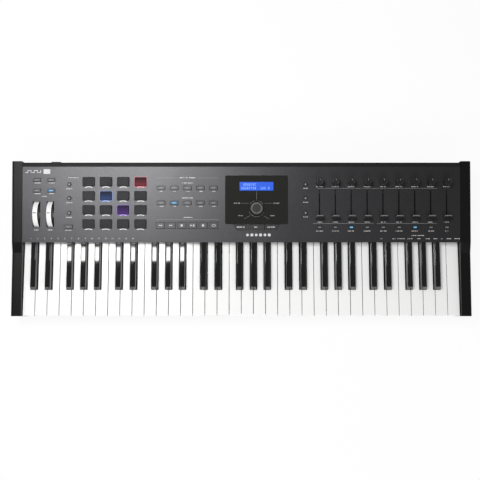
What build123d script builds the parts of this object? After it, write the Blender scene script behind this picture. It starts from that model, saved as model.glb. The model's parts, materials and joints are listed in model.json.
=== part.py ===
from build123d import *

import math
import os

# A 61-key synthesizer and controller, in millimetres. X runs along the keyboard from the low
# keys to the high keys, Y from the player to the rear, Z up. The origin is on the table, under
# the middle of the case.

# ---------------------------------------------------------------- driving dimensions
# keyboard
OCTAVES = 5
WHITE_PITCH = 23.5
KEY_GAP = 1.0
HEAD_LENGTH = 50.0
WHITE_VISIBLE = 141.0
KEY_TOP = 43.0
KEY_BODY = 10.0
KEY_SKIRT = 19.0
KEY_WALL = 2.0
KEY_EDGE = 0.8
KEY_DIP = 10.0
BLACK_FRONT_SETBACK = 50.3
BLACK_RISE = 11.5
BLACK_BASE = 12.2
BLACK_CREST = 9.5
BLACK_SLANT = 5.0
BLACK_FOOT = 9.0
BLACK_WALL = 1.6
BLACK_EDGE = 1.2
TAIL_WIDTH = 10.0
PIVOT_SETBACK = 153.3
TAIL_BEHIND_PIVOT = 11.0
NECK_BEFORE_PIVOT = 10.0
ROD_R = 2.0
EAR_THICKNESS = 2.4
END_EAR_THICKNESS = 1.8
SPRING_MEAN_R = 2.1
SPRING_WIRE_R = 0.8
SPRING_BEHIND_PIVOT = 7.5
SPRING_TURNS = 7

# case
CHEEK_THICKNESS = 20.5
CASE_DEPTH = 298.0
CHEEK_WALL = 2.5
CHEEK_FRONT_TOP = 50.0
CHEEK_ABOVE_PANEL = 1.5
CHEEK_ROUNDING = 5.0
CHEEK_KNEE = (20.0, 5.0)
FOOT_HEIGHT = 4.0
FOOT_R = 8.0
FLOOR_THICKNESS = 3.0
FRONT_RAIL_TOP = 22.0
FRONT_RAIL_SETBACK = 5.1
WALL = 2.5
CHASSIS_BOTTOM = 20.0
CHASSIS_SHEET = 1.5
COLUMN_R = 4.0
REAR_INSET = 1.8
HOUSING_ROUNDING = 3.0
GROOVE_WIDTH = 1.0
GROOVE_DEPTH = 0.5

# panel
PANEL_FRONT_TOP = 58.5
PANEL_SLOPE = 4.9
PANEL_LENGTH = 146.3
PANEL_THICKNESS = 2.0
PANEL_LIP = 3.2
BOARD_DEPTH = 11.0
BOARD_THICKNESS = 1.6
LEDGE_WIDTH = 5.0
LEDGE_THICKNESS = 3.0
LEDGE_INSET = 2.0

# controls, where places are (X, distance up the panel from its front edge)
BUTTON_PROUD = 1.5
BUTTON_TRAVEL = 0.8
BUTTON_CORNER = 0.8
BUTTON_EDGE = 0.5
PAD_PROUD = 2.2
PAD_TRAVEL = 1.0
PAD_CORNER = 2.0
PAD_EDGE = 1.2
PAD_SIZE = (22.8, 17.2)
PAD_COLUMNS = [-294.9 + 33.4 * i for i in range(4)]
PAD_ROWS = [117.0 - 27.2 * i for i in range(4)]
OCTAVE_SIZE = (15.0, 6.6)
OCTAVE_PLACES = [(x, v) for v in (120.7, 100.0) for x in (-394.9, -367.4)]
ROUND_R = 4.0
ROUND_EDGE = 0.8
LEFT_ROUND_X = -332.5
RIGHT_ROUND_X = 124.1
ROUND_ROWS = (112.0, 85.1, 56.8)
SHIFT_SIZE = (16.8, 7.9)
SHIFT_PLACE = (-333.8, 30.0)
COMMAND_SIZE = (16.0, 7.8)
COMMAND_PLACES = [(-155.0 + 25.25 * i, v) for v in (105.2, 76.2) for i in range(5)]
TRANSPORT_SIZE = (16.7, 12.7)
TRANSPORT_PLACES = [(-156.2 + 20.6 * i, 32.6) for i in range(6)]
MODE_V = (24.0, 34.4)
MODE_OUTLINES = [
    [(-8.5, 11.0), (-14.5, 11.0)],
    [(14.1, 44.6), (14.1, 44.6)],
    [(45.6, 67.2), (45.6, 73.2)],
]
BEZEL_X = (-31.3, 90.0)
BEZEL_V = (35.4, 129.2)
BEZEL_THICKNESS = 1.2
BEZEL_CORNER = 3.0
SCREEN_PLACE = (29.3, 108.4)
SCREEN_SIZE = (65.2, 16.8)
ENCODER_PLACE = (29.6, 65.0)
ENCODER_R = 12.3
ENCODER_HEIGHT = 13.6
ENCODER_TRAVEL = 0.5
STRIP_COUNT = 9
STRIP_X = [151.1 + 30.7 * i for i in range(STRIP_COUNT)]
KNOB_V = 116.6
KNOB_R = 7.75
KNOB_TOP_R = 7.1
KNOB_HEIGHT = 14.0
KNOB_CLEARANCE = 0.8
SHAFT_R = 3.0
FADER_REST_V = 47.7
FADER_TRAVEL = 45.0
FADER_CAP = (14.8, 9.4)
FADER_CAP_HEIGHT = 10.0
FADER_DISH = 1.6
FADER_CLEARANCE = 0.6
FADER_SLOT_V = (43.7, 100.7)
FADER_SLOT_WIDTH = 2.5
SELECT_V = 29.2
SELECT_SIZE = (9.0, 6.6)

# pitch and modulation wheels
WHEEL_X = (-395.65, -369.1)
WHEEL_V = 54.4
WHEEL_SLOT = (14.6, 49.4)
WHEEL_RISE = 12.0
WHEEL_WIDTH = 11.0
WHEEL_EDGE = 2.0
WHEEL_RECESS = 3.0
WHEEL_RIM = 5.0
WHEEL_HUB_R = 7.0
CRADLE_SHEET = 2.0

# rear panel
JACK_PLACES = (-200.0, -168.0)
JACK_BORE_R = 3.25
JACK_NOSE_R = 5.5
JACK_DEPTH = 30.0
DIN_X = -128.0
DIN_R = 9.0
USB_X = -92.0
USB_PORT = (8.5, 7.8)
SWITCH_X = -358.1
SWITCH_Z = 54.0
SWITCH_HOOD = 17.8
SWITCH_HOOD_RISE = 1.5
HOOD_SETBACK = 1.2
ROCKER_WIDTH = 10.0
ROCKER_R = 9.3
ROCKER_TILT = 7.0

# clearances
FIT = 0.3
RUNNING = 0.05
SEAT = 0.1

# ---------------------------------------------------------------- derived places
WHITE_COUNT = 7 * OCTAVES + 1
KEY_SPAN = WHITE_COUNT * WHITE_PITCH
SIDE_GAP = 0.5
INNER_X = KEY_SPAN / 2 + SIDE_GAP
CASE_X = INNER_X + CHEEK_THICKNESS
CASE_FRONT = -CASE_DEPTH / 2
CASE_REAR = CASE_DEPTH / 2
WHITE_FRONT = CASE_FRONT + 0.7
PANEL_FRONT = WHITE_FRONT + WHITE_VISIBLE
PIVOT_Y = WHITE_FRONT + PIVOT_SETBACK
KEY_BOTTOM = KEY_TOP - KEY_BODY
PIVOT_Z = KEY_TOP - KEY_BODY / 2
DIP_SINE = KEY_DIP / PIVOT_SETBACK
TAIL_END = PIVOT_Y + TAIL_BEHIND_PIVOT
NECK_END = PIVOT_Y - NECK_BEFORE_PIVOT
BLACK_REAR = PANEL_FRONT + PANEL_LIP
FLOOR_TOP = FOOT_HEIGHT + FLOOR_THICKNESS
CHASSIS_TOP = CHASSIS_BOTTOM + CHASSIS_SHEET
HOUSING_REAR = CASE_REAR - REAR_INSET
RISE = math.sin(math.radians(PANEL_SLOPE))
RUN = math.cos(math.radians(PANEL_SLOPE))
PANEL_REAR = PANEL_FRONT + PANEL_LENGTH * RUN
PANEL_REAR_TOP = PANEL_FRONT_TOP + PANEL_LENGTH * RISE
STRIP_FRONT = PANEL_REAR + FIT
BOARD_TOP = -BOARD_DEPTH
BOARD_UNDER = BOARD_TOP - BOARD_THICKNESS
WHEEL_SAG = WHEEL_RISE + PANEL_THICKNESS
WHEEL_CHORD = WHEEL_SLOT[1] / 2 - 2 * FIT
WHEEL_R = (WHEEL_CHORD**2 + WHEEL_SAG**2) / (2 * WHEEL_SAG)
WHEEL_W = WHEEL_RISE - WHEEL_R
SWITCH_TIP = 3.6
SWITCH_Y = CASE_REAR - SWITCH_TIP - SEAT

panel = Plane(origin=(0, PANEL_FRONT, PANEL_FRONT_TOP), x_dir=(1, 0, 0), z_dir=(0, -RISE, RUN))

# ---------------------------------------------------------------- helpers


def block(x, y, z):
    """A box between the limits given as pairs."""
    middle = Pos((x[0] + x[1]) / 2, (y[0] + y[1]) / 2, (z[0] + z[1]) / 2)
    return middle * Box(x[1] - x[0], y[1] - y[0], z[1] - z[0])


def patch(x, y):
    """A rectangle between the limits given as pairs."""
    return Pos((x[0] + x[1]) / 2, (y[0] + y[1]) / 2) * Rectangle(x[1] - x[0], y[1] - y[0])


def around(centre, size, grow=0.0):
    """Limits of a length centred on a place, grown on both sides."""
    return (centre - size / 2 - grow, centre + size / 2 + grow)


def post(x, y, z, radius):
    """An upright cylinder between two heights."""
    return Pos(x, y, (z[0] + z[1]) / 2) * Cylinder(radius, z[1] - z[0])


def bar(x, y, z, radius):
    """A cylinder along X between two places."""
    return Pos((x[0] + x[1]) / 2, y, z) * Rot(0, 90, 0) * Cylinder(radius, x[1] - x[0])


def plug(x, y, z, radius):
    """A cylinder along Y between two places."""
    return Pos(x, (y[0] + y[1]) / 2, z) * Rot(90, 0, 0) * Cylinder(radius, y[1] - y[0])


def outline(*points):
    return make_face(Polyline(*points, close=True))


def side_extrusion(face, x):
    """A face drawn in Y and Z, extruded between two places along X."""
    return Pos(x[0], 0, 0) * extrude(Plane.YZ * face, x[1] - x[0])


def top_edges(shape):
    return shape.edges().group_by(Axis.Z)[-1]


def save(name, *shapes):
    solids = [solid for shape in shapes for solid in shape.solids()]
    whole = solids[0] if len(solids) == 1 else Compound(children=solids)
    export_step(whole, f"parts/{name}.step")


# ---------------------------------------------------------------- keys
NOTES = ["c", "c_sharp", "d", "d_sharp", "e", "f", "f_sharp", "g", "g_sharp", "a", "a_sharp", "b"]
WHITE_NOTES = [0, 2, 4, 5, 7, 9, 11]
FIRST_OF_F = 5
LOW_SLOT = 3 * WHITE_PITCH / FIRST_OF_F
HIGH_SLOT = 4 * WHITE_PITCH / (12 - FIRST_OF_F)


def slot(note):
    """Where a note's tail lies, from the start of its octave."""
    if note < FIRST_OF_F:
        return (note * LOW_SLOT, (note + 1) * LOW_SLOT)
    start = 3 * WHITE_PITCH + (note - FIRST_OF_F) * HIGH_SLOT
    return (start, start + HIGH_SLOT)


def octave_start(octave):
    return -KEY_SPAN / 2 + octave * 7 * WHITE_PITCH


def tail_bore(x):
    return bar(around(x, 2 * TAIL_WIDTH), PIVOT_Y, PIVOT_Z, ROD_R + RUNNING)


def white_key(head_x, neck):
    """One white key with its head from head_x and its neck in the slot given."""
    middle = (neck[0] + neck[1]) / 2
    head = (head_x + KEY_GAP / 2, head_x + WHITE_PITCH - KEY_GAP / 2)
    neck = (neck[0] + KEY_GAP / 2, neck[1] - KEY_GAP / 2)
    plan = patch(head, (WHITE_FRONT, WHITE_FRONT + HEAD_LENGTH))
    plan += patch(neck, (WHITE_FRONT, NECK_END))
    tail = patch(around(middle, TAIL_WIDTH), (NECK_END - TAIL_WIDTH, TAIL_END))
    key = extrude(Pos(0, 0, KEY_BOTTOM) * (plan + tail), KEY_BODY)
    key = fillet(top_edges(key), KEY_EDGE)
    hollow = offset(plan, -KEY_WALL, kind=Kind.INTERSECTION)
    key -= extrude(Pos(0, 0, KEY_BOTTOM) * hollow, KEY_BODY - KEY_WALL)
    skirt_z = (KEY_TOP - KEY_SKIRT, KEY_BOTTOM + KEY_WALL)
    key += block(head, (WHITE_FRONT, WHITE_FRONT + KEY_WALL), skirt_z)
    return key - tail_bore(middle)


def black_key():
    """One black key, centred on X = 0."""
    front = WHITE_FRONT + BLACK_FRONT_SETBACK
    foot, crest = KEY_TOP - BLACK_FOOT, KEY_TOP + BLACK_RISE
    side = outline(
        (front, foot), (front, KEY_TOP), (front + BLACK_SLANT, crest),
        (BLACK_REAR, crest), (BLACK_REAR, foot),
    )
    half, top = BLACK_BASE / 2, BLACK_CREST / 2
    across = outline(
        (-half, foot), (-half, KEY_TOP), (-top, crest), (top, crest), (half, KEY_TOP), (half, foot)
    )
    key = side_extrusion(side, (-half, half)) & extrude(Plane.XZ * across, CASE_DEPTH, both=True)
    key = fillet(top_edges(key), BLACK_EDGE)
    key -= block(
        around(0, BLACK_CREST, -BLACK_WALL),
        (front + BLACK_SLANT + BLACK_WALL, BLACK_REAR - TAIL_WIDTH),
        (foot, crest - BLACK_WALL),
    )
    tail = block(around(0, TAIL_WIDTH), (BLACK_REAR - TAIL_WIDTH, TAIL_END), (KEY_BOTTOM, KEY_TOP))
    return key + tail - tail_bore(0)


def key_middles():
    """The middle of every key's tail, from the lowest to the highest."""
    places = [octave_start(o) + sum(slot(n)) / 2 for o in range(OCTAVES) for n in range(12)]
    return places + [octave_start(OCTAVES) + WHITE_PITCH / 2]


def save_keys():
    black = black_key()
    for note, name in enumerate(NOTES):
        if note in WHITE_NOTES:
            key = white_key(WHITE_NOTES.index(note) * WHITE_PITCH, slot(note))
        else:
            key = Pos(sum(slot(note)) / 2, 0, 0) * black
        keys = [Pos(octave_start(o), 0, 0) * key for o in range(OCTAVES)]
        if note == 0:
            keys.append(Pos(octave_start(OCTAVES), 0, 0) * white_key(0, (0, WHITE_PITCH)))
        save(f"keys_{name}", *keys)


# ---------------------------------------------------------------- fasteners
SCREW_HEAD_R = 3.0
SCREW_HEAD = 1.6
SCREW_R = 1.5
SCREW_LENGTH = 8.0
PILOT_R = SCREW_R + RUNNING
HOLE_R = SCREW_R + 0.2
PILOT_TOP = FOOT_HEIGHT + SCREW_HEAD + SCREW_LENGTH + 2 * SEAT + FIT
FLOOR_SCREW_X = [-400.0 + 160.0 * i for i in range(6)]
CHASSIS_SCREW_Y = (-115.0, 0.0)
HOUSING_SCREW_Y = HOUSING_REAR - WALL - COLUMN_R - 2
CHEEK_SCREW_Y = (-120.0, 0.0, 120.0)
CHEEK_SCREW_X = INNER_X + CHEEK_THICKNESS / 2
MAIN_BOARD_X = (-222.0, -70.0)
MAIN_BOARD_Y = (98.0, 138.0)
MAIN_BOARD_POSTS = [(x, y) for x in (-216.0, -76.0) for y in (104.0, 129.0)]
BOSS_R = 3.5
BOSS_PLACES = [(x, v) for x in (-330.0, -165.0, 0.0, 165.0, 330.0) for v in (14.0, 136.0)]
SIDE_BOSS_PLACES = [(-408.0, 110.0), (-353.5, 110.0)]


def floor_screws():
    """Places of the screws that come up through the floor."""
    places = [(x, y) for x in FLOOR_SCREW_X for y in (*CHASSIS_SCREW_Y, HOUSING_SCREW_Y)]
    return places + [(side * CHEEK_SCREW_X, y) for side in (-1, 1) for y in CHEEK_SCREW_Y]


def screw():
    """A pan head screw, with its head's underside at the origin and its thread going up."""
    head = fillet(post(0, 0, (-SCREW_HEAD, 0), SCREW_HEAD_R).edges().group_by(Axis.Z)[0], 0.5)
    shank = post(0, 0, (-SCREW_HEAD / 2, SCREW_LENGTH), SCREW_R)
    recess = block(around(0, 2.4), around(0, 0.6), (-SCREW_HEAD, -SCREW_HEAD / 2))
    return head + shank - recess - Rot(0, 0, 90) * recess


def save_screws():
    one = screw()
    head_z = FOOT_HEIGHT + SCREW_HEAD + SEAT
    screws = [Pos(x, y, head_z) * one for x, y in floor_screws()]
    upside_down = Rot(180, 0, 0) * one
    screws += [Pos(x, y, CHASSIS_BOTTOM + BOARD_THICKNESS) * upside_down for x, y in MAIN_BOARD_POSTS]
    screws += [panel * (Pos(x, v, BOARD_UNDER) * one) for x, v in BOSS_PLACES + SIDE_BOSS_PLACES]
    save("case_screws", *screws)


def column(x, y, top):
    """A screw column standing on the floor."""
    return post(x, y, (FLOOR_TOP, top), COLUMN_R) - post(x, y, (FLOOR_TOP, PILOT_TOP), PILOT_R)


# ---------------------------------------------------------------- case
FEET_PLACES = [(x, y) for x in (-340.0, 0.0, 340.0) for y in (-120.0, 118.0)]
FLOOR_INSET = 1.0
COLUMN_TOP = CHASSIS_BOTTOM


def save_bottom_case():
    rail_front = CASE_FRONT + FRONT_RAIL_SETBACK
    floor_x = (-CASE_X + FLOOR_INSET, CASE_X - FLOOR_INSET)
    inner = (-INNER_X + FIT, INNER_X - FIT)
    case = block(floor_x, (rail_front, HOUSING_REAR), (FOOT_HEIGHT, FLOOR_TOP))
    case += block(inner, (rail_front, rail_front + WALL), (FLOOR_TOP, FRONT_RAIL_TOP))
    side_y = (rail_front, HOUSING_SCREW_Y - COLUMN_R - WALL)
    for side in (-1, 1):
        edge = sorted((side * (INNER_X - FIT), side * (INNER_X - FIT - WALL)))
        case += block(edge, side_y, (FLOOR_TOP, CHASSIS_BOTTOM - FIT))
    for x, y in MAIN_BOARD_POSTS:
        case += post(x, y, (FLOOR_TOP, CHASSIS_BOTTOM), BOSS_R)
        thread = CHASSIS_BOTTOM + BOARD_THICKNESS - SCREW_LENGTH - FIT
        case -= post(x, y, (thread, CHASSIS_BOTTOM), PILOT_R)
    for x, y in floor_screws():
        pocket = FOOT_HEIGHT + SCREW_HEAD + SEAT
        case -= post(x, y, (FOOT_HEIGHT, pocket), SCREW_HEAD_R + FIT)
        case -= post(x, y, (pocket, FLOOR_TOP), HOLE_R)
    save("bottom_case", case)


def save_feet():
    foot = fillet(post(0, 0, (0, FOOT_HEIGHT), FOOT_R).edges().group_by(Axis.Z)[0], 1.0)
    save("rubber_feet", *[Pos(x, y, 0) * foot for x, y in FEET_PLACES])


def cheek_top(y):
    """Height of the end cheeks' top behind the panel's front edge."""
    return PANEL_FRONT_TOP + CHEEK_ABOVE_PANEL + (y - PANEL_FRONT) * RISE / RUN


def cheek_profile(inset):
    front, rear = CASE_FRONT + inset, CASE_REAR - inset
    return outline(
        (front, FLOOR_TOP - (CHEEK_WALL if inset else 0)),
        (front, CHEEK_FRONT_TOP - inset),
        (PANEL_FRONT - CHEEK_KNEE[0], CHEEK_FRONT_TOP + CHEEK_KNEE[1] - inset),
        (PANEL_FRONT, cheek_top(PANEL_FRONT) - inset),
        (rear, cheek_top(rear) - inset),
        (rear, FLOOR_TOP - (CHEEK_WALL if inset else 0)),
    )


def right_cheek():
    x = (INNER_X, CASE_X)
    shell = side_extrusion(cheek_profile(0), x)
    upper = [e for e in shell.edges().group_by(Axis.X)[-1] if e.center().Z > CHEEK_FRONT_TOP - SEAT]
    shell = fillet(upper, CHEEK_ROUNDING)
    cheek = shell - side_extrusion(cheek_profile(CHEEK_WALL), (x[0] + CHEEK_WALL, x[1] - CHEEK_WALL))
    for y in CHEEK_SCREW_Y:
        web = block(x, around(y, 2 * COLUMN_R), (FLOOR_TOP, COLUMN_TOP))
        cheek += web & shell
        cheek -= post(CHEEK_SCREW_X, y, (FLOOR_TOP, PILOT_TOP), PILOT_R)
    under = -PANEL_THICKNESS - SEAT
    ledge_v = (LEDGE_INSET, PANEL_LENGTH - LEDGE_INSET)
    ledge = block((x[0] - LEDGE_WIDTH, x[0] + SEAT), ledge_v, (under - LEDGE_THICKNESS, under))
    return cheek + panel * ledge


def save_cheeks():
    right = right_cheek()
    save("right_cheek", right)
    save("left_cheek", mirror(right, Plane.YZ))


def save_rear_housing():
    top, rear = PANEL_REAR_TOP, HOUSING_REAR
    ledge_front = STRIP_FRONT - LEDGE_WIDTH
    seat_rear = top - (PANEL_THICKNESS + SEAT) / RUN
    seat_front = seat_rear - (STRIP_FRONT - ledge_front) * RISE / RUN
    flange_front = HOUSING_SCREW_Y - COLUMN_R - 1
    inner = rear - WALL
    profile = outline(
        (STRIP_FRONT, top), (rear, top), (rear, FLOOR_TOP), (flange_front, FLOOR_TOP),
        (flange_front, FLOOR_TOP + WALL), (inner, FLOOR_TOP + WALL),
        (inner, seat_front - LEDGE_THICKNESS), (ledge_front, seat_front - LEDGE_THICKNESS),
        (ledge_front, seat_front), (STRIP_FRONT, seat_rear),
    )
    width = (-INNER_X + LEDGE_WIDTH + FIT, INNER_X - LEDGE_WIDTH - FIT)
    housing = side_extrusion(profile, width)
    ends = block((-INNER_X + FIT, INNER_X - FIT), (STRIP_FRONT, rear), (FLOOR_TOP, top))
    ends -= block((-INNER_X, INNER_X), (STRIP_FRONT - 1, inner), (FLOOR_TOP - 1, top - WALL))
    housing += ends
    back = housing.edges().filter_by(Axis.X).filter_by(lambda e: e.center().Y > rear - SEAT)
    housing = fillet(back.filter_by(lambda e: e.center().Z > top - SEAT), HOUSING_ROUNDING)
    for x in FLOOR_SCREW_X:
        housing += column(x, HOUSING_SCREW_Y, COLUMN_TOP)
        housing -= post(x, HOUSING_SCREW_Y, (FLOOR_TOP, FLOOR_TOP + WALL), PILOT_R)
    hood_x = around(SWITCH_X, SWITCH_HOOD)
    hood_rear = SWITCH_Y + SWITCH_TIP - HOOD_SETBACK
    hood_top = top + SWITCH_HOOD_RISE
    housing += block(hood_x, (inner, hood_rear), (SWITCH_Z - SWITCH_CASE[1] / 2 - WALL, hood_top))
    housing += block(hood_x, (STRIP_FRONT + FIT, hood_rear), (top - WALL, hood_top))
    through = (inner - 1, CASE_REAR)
    switch_x, switch_z = around(SWITCH_X, SWITCH_CASE[0], FIT), around(SWITCH_Z, SWITCH_CASE[1], FIT)
    housing -= block(switch_x, through, switch_z)
    for x in JACK_PLACES:
        housing -= plug(x, through, JACK_Z, JACK_NOSE_R + FIT)
    housing -= plug(DIN_X, through, JACK_Z, DIN_R + FIT)
    usb_z = around(BOARD_LEVEL + USB_CASE[1] / 2, USB_CASE[1], FIT)
    housing -= block(around(USB_X, USB_CASE[0], FIT), through, usb_z)
    groove_y = (STRIP_FRONT + rear) / 2
    for x in ((-INNER_X, hood_x[0] - 1), (hood_x[1] + 1, INNER_X)):
        housing -= block(x, around(groove_y, GROOVE_WIDTH), (top - GROOVE_DEPTH, top + 1))
    save("rear_housing", housing)


# ---------------------------------------------------------------- rear sockets and switch
BOARD_LEVEL = CHASSIS_BOTTOM + BOARD_THICKNESS
JACK_CASE_WIDTH = 15.0
JACK_Z = BOARD_LEVEL + DIN_R + 1
USB_CASE = (12.0, 11.0)
USB_DEPTH = 16.0
USB_PORT_DEPTH = 10.0
DIN_DEPTH = 14.0
DIN_GROOVE = (1.2, 2.6)
DIN_GROOVE_DEPTH = 8.0
DIN_PIN_CIRCLE_R = 4.4
DIN_PIN_R = 0.8
DIN_PIN_DEPTH = 6.0
SWITCH_CASE = (14.0, 21.6)
SWITCH_BACK = 1.2
SWITCH_SETBACK = 1.5
SWITCH_PIN_R = 1.0
ROCKER_BACK = 2.4
ROCKER_LEAN = 1.15


def jack(x):
    """A 6.35 mm socket: its case on the board, its nose through the rear wall, one blind bore."""
    nose_end = HOUSING_REAR - SEAT
    case_rear = HOUSING_REAR - WALL - FIT
    case_front = nose_end - JACK_DEPTH - 2
    case_z = (BOARD_LEVEL, 2 * JACK_Z - BOARD_LEVEL)
    body = block(around(x, JACK_CASE_WIDTH), (case_front, case_rear), case_z)
    body += plug(x, (case_rear - 1, nose_end), JACK_Z, JACK_NOSE_R)
    return body - plug(x, (nose_end - JACK_DEPTH, nose_end + 1), JACK_Z, JACK_BORE_R)


def din_socket():
    """A round five-pole socket with a ring groove for the plug's shell."""
    nose_end = HOUSING_REAR - SEAT
    case_rear = HOUSING_REAR - WALL - FIT
    case_x, case_z = around(DIN_X, 2 * DIN_R + 1), (BOARD_LEVEL, JACK_Z + DIN_R + 0.5)
    body = block(case_x, (case_rear - DIN_DEPTH, case_rear), case_z)
    body += plug(DIN_X, (case_rear - 1, nose_end), JACK_Z, DIN_R)
    groove_y = (nose_end - DIN_GROOVE_DEPTH, nose_end + 1)
    outer, inner = (plug(DIN_X, groove_y, JACK_Z, DIN_R - inset) for inset in DIN_GROOVE)
    body -= outer - inner
    for step in range(5):
        angle = math.radians(180 + 45 * step)
        x = DIN_X + DIN_PIN_CIRCLE_R * math.cos(angle)
        z = JACK_Z + DIN_PIN_CIRCLE_R * math.sin(angle)
        body -= plug(x, (nose_end - DIN_PIN_DEPTH, nose_end + 1), z, DIN_PIN_R)
    return body


def usb_socket():
    nose_end = HOUSING_REAR - SEAT
    middle = BOARD_LEVEL + USB_CASE[1] / 2
    body = block(around(USB_X, USB_CASE[0]), (nose_end - USB_DEPTH, nose_end), around(middle, USB_CASE[1]))
    port_y = (nose_end - USB_PORT_DEPTH, nose_end + 1)
    return body - block(around(USB_X, USB_PORT[0]), port_y, around(middle, USB_PORT[1]))


def switch_body():
    """The power switch's open box, with the pin that the rocker turns on."""
    width, height = SWITCH_CASE
    front = STRIP_FRONT + FIT
    body = block(around(SWITCH_X, width), (front, CASE_REAR - SWITCH_SETBACK), around(SWITCH_Z, height))
    room_x, room_z = around(SWITCH_X, ROCKER_WIDTH, FIT), around(SWITCH_Z, 2 * ROCKER_R, FIT)
    body -= block(room_x, (front + SWITCH_BACK, CASE_REAR), room_z)
    return body + bar(around(SWITCH_X, width - 1), SWITCH_Y, SWITCH_Z, SWITCH_PIN_R)


def save_rocker():
    turned = Circle(ROCKER_R)
    edge = SWITCH_TIP - ROCKER_LEAN
    shape = outline(
        (-ROCKER_BACK, -ROCKER_R), (edge, -ROCKER_R), (SWITCH_TIP, 0),
        (edge, ROCKER_R), (-ROCKER_BACK, ROCKER_R),
    )
    rocker = side_extrusion(turned & shape, around(0, ROCKER_WIDTH))
    rocker -= bar(around(0, 2 * ROCKER_WIDTH), 0, 0, SWITCH_PIN_R + RUNNING)
    save("power_rocker", Pos(SWITCH_X, SWITCH_Y, SWITCH_Z) * Rot(-ROCKER_TILT, 0, 0) * rocker)


def save_sockets():
    save("rear_sockets", *[jack(x) for x in JACK_PLACES], din_socket(), usb_socket(), switch_body())


# ---------------------------------------------------------------- keybed
CHASSIS_X = INNER_X - FIT
CHASSIS_FRONT = CASE_FRONT + FRONT_RAIL_SETBACK + WALL + FIT
CHASSIS_REAR = TAIL_END + 6
FLANGE = 6.0


def ear_places():
    """Places of the hinge ears between the groups of keys, without the two end ears."""
    starts = [octave_start(o) + group for o in range(OCTAVES) for group in (0, 3 * WHITE_PITCH)]
    return starts[1:] + [octave_start(OCTAVES)]


def save_chassis():
    chassis = block((-CHASSIS_X, CHASSIS_X), (CHASSIS_FRONT, CHASSIS_REAR), (CHASSIS_BOTTOM, CHASSIS_TOP))
    flange_z = (CHASSIS_BOTTOM - FLANGE, CHASSIS_TOP)
    flange_x = (-CHASSIS_X + WALL + FIT, CHASSIS_X - WALL - FIT)
    chassis += block(flange_x, (CHASSIS_FRONT, CHASSIS_FRONT + CHASSIS_SHEET), flange_z)
    chassis += block(flange_x, (CHASSIS_REAR - CHASSIS_SHEET, CHASSIS_REAR), flange_z)
    for x in FLOOR_SCREW_X:
        for y in CHASSIS_SCREW_Y:
            chassis += column(x, y, COLUMN_TOP)
    ear_y = around(PIVOT_Y, KEY_BODY)
    ear_z = (CHASSIS_BOTTOM, PIVOT_Z + ROD_R + 2)
    for x in ear_places():
        chassis += block(around(x, EAR_THICKNESS), ear_y, ear_z)
    for side in (-1, 1):
        end = sorted((side * CHASSIS_X, side * (CHASSIS_X - END_EAR_THICKNESS)))
        chassis += block(end, ear_y, ear_z)
    chassis -= bar((-CASE_X, CASE_X), PIVOT_Y, PIVOT_Z, ROD_R + RUNNING)
    rod = bar((-CHASSIS_X, CHASSIS_X), PIVOT_Y, PIVOT_Z, ROD_R)
    save("keybed_chassis", chassis, rod)


def save_key_springs():
    """A coil under the tail of every key, drawn as a closed stack of rings."""
    height = KEY_BOTTOM - FIT - CHASSIS_TOP
    pitch = (height - 2 * SPRING_WIRE_R) / (SPRING_TURNS - 1)
    rings = Sketch()
    wire_r = max(SPRING_WIRE_R, 0.55 * pitch)
    for turn in range(SPRING_TURNS):
        rings += Pos(SPRING_MEAN_R, SPRING_WIRE_R + turn * pitch) * Circle(wire_r)
    rings &= patch((0, 2 * SPRING_MEAN_R + SPRING_WIRE_R), (0, height))
    coil = revolve(Plane.XZ * rings, Axis.Z)
    y = PIVOT_Y + SPRING_BEHIND_PIVOT
    save("key_springs", *[Pos(x, y, CHASSIS_TOP) * coil for x in key_middles()])


FELT_Y = (-136.0, -124.0)
KEY_BOARD_Y = (-26.0, -4.0)
DOME_Y = -15.0


def save_felt():
    top = KEY_BOTTOM - (PIVOT_Y - FELT_Y[0]) * DIP_SINE - FIT
    save("key_felt", block(around(0, KEY_SPAN - 2), FELT_Y, (CHASSIS_TOP, top)))


def save_contact_strips():
    """A rubber strip with a contact dome under each key, one strip to an octave."""
    base = CHASSIS_TOP + BOARD_THICKNESS
    dome_top = KEY_BOTTOM - (PIVOT_Y - DOME_Y + 4) * DIP_SINE - 2 * FIT
    height = dome_top - base - 1
    dome = Pos(0, DOME_Y, base + 1 + height / 2) * Cone(4.0, 2.5, height)
    strips = []
    for octave in range(OCTAVES + 1):
        places = key_middles()[12 * octave : 12 * octave + 12]
        strip = block((places[0] - 5.5, places[-1] + 5.5), around(DOME_Y, 12), (base, base + 1))
        for x in places:
            strip += Pos(x, 0, 0) * dome
        strips.append(strip)
    save("key_contact_strips", *strips)


# ---------------------------------------------------------------- panel and its controls
MAIN_PANEL_BOARD = ((-346.0, 418.0), (8.0, 141.0))
SIDE_PANEL_BOARD = ((-415.0, -349.5), (92.0, 130.0))
MODULE_SIZE = (72.0, 22.0)
MODULE_DEPTH = 8.0
GLASS_SETBACK = 0.4
SHAFT_HOLE_R = SHAFT_R + 0.5
CAP_FOOT = -5.6
CAP_LEDGE = 1.0
PAD_FOOT = -9.4
LEVER = (1.6, 4.0)
LEVER_FOOT = -9.0
FADER_CASE = (9.0, 7.5, 7.0)
TACT_SIZE = 6.0
TACT_PLUNGER = (1.6, 0.7)
KNOB_ENCODER_SIZE = 12.0
MAIN_ENCODER_SIZE = 14.0


def rectangle_caps():
    """Every rectangular button as (group, place, size)."""
    caps = [("left_buttons", place, OCTAVE_SIZE) for place in OCTAVE_PLACES]
    caps.append(("left_buttons", SHIFT_PLACE, SHIFT_SIZE))
    caps += [("command_buttons", place, COMMAND_SIZE) for place in COMMAND_PLACES]
    caps += [("transport_buttons", place, TRANSPORT_SIZE) for place in TRANSPORT_PLACES]
    return caps + [("select_buttons", (x, SELECT_V), SELECT_SIZE) for x in STRIP_X]


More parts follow.
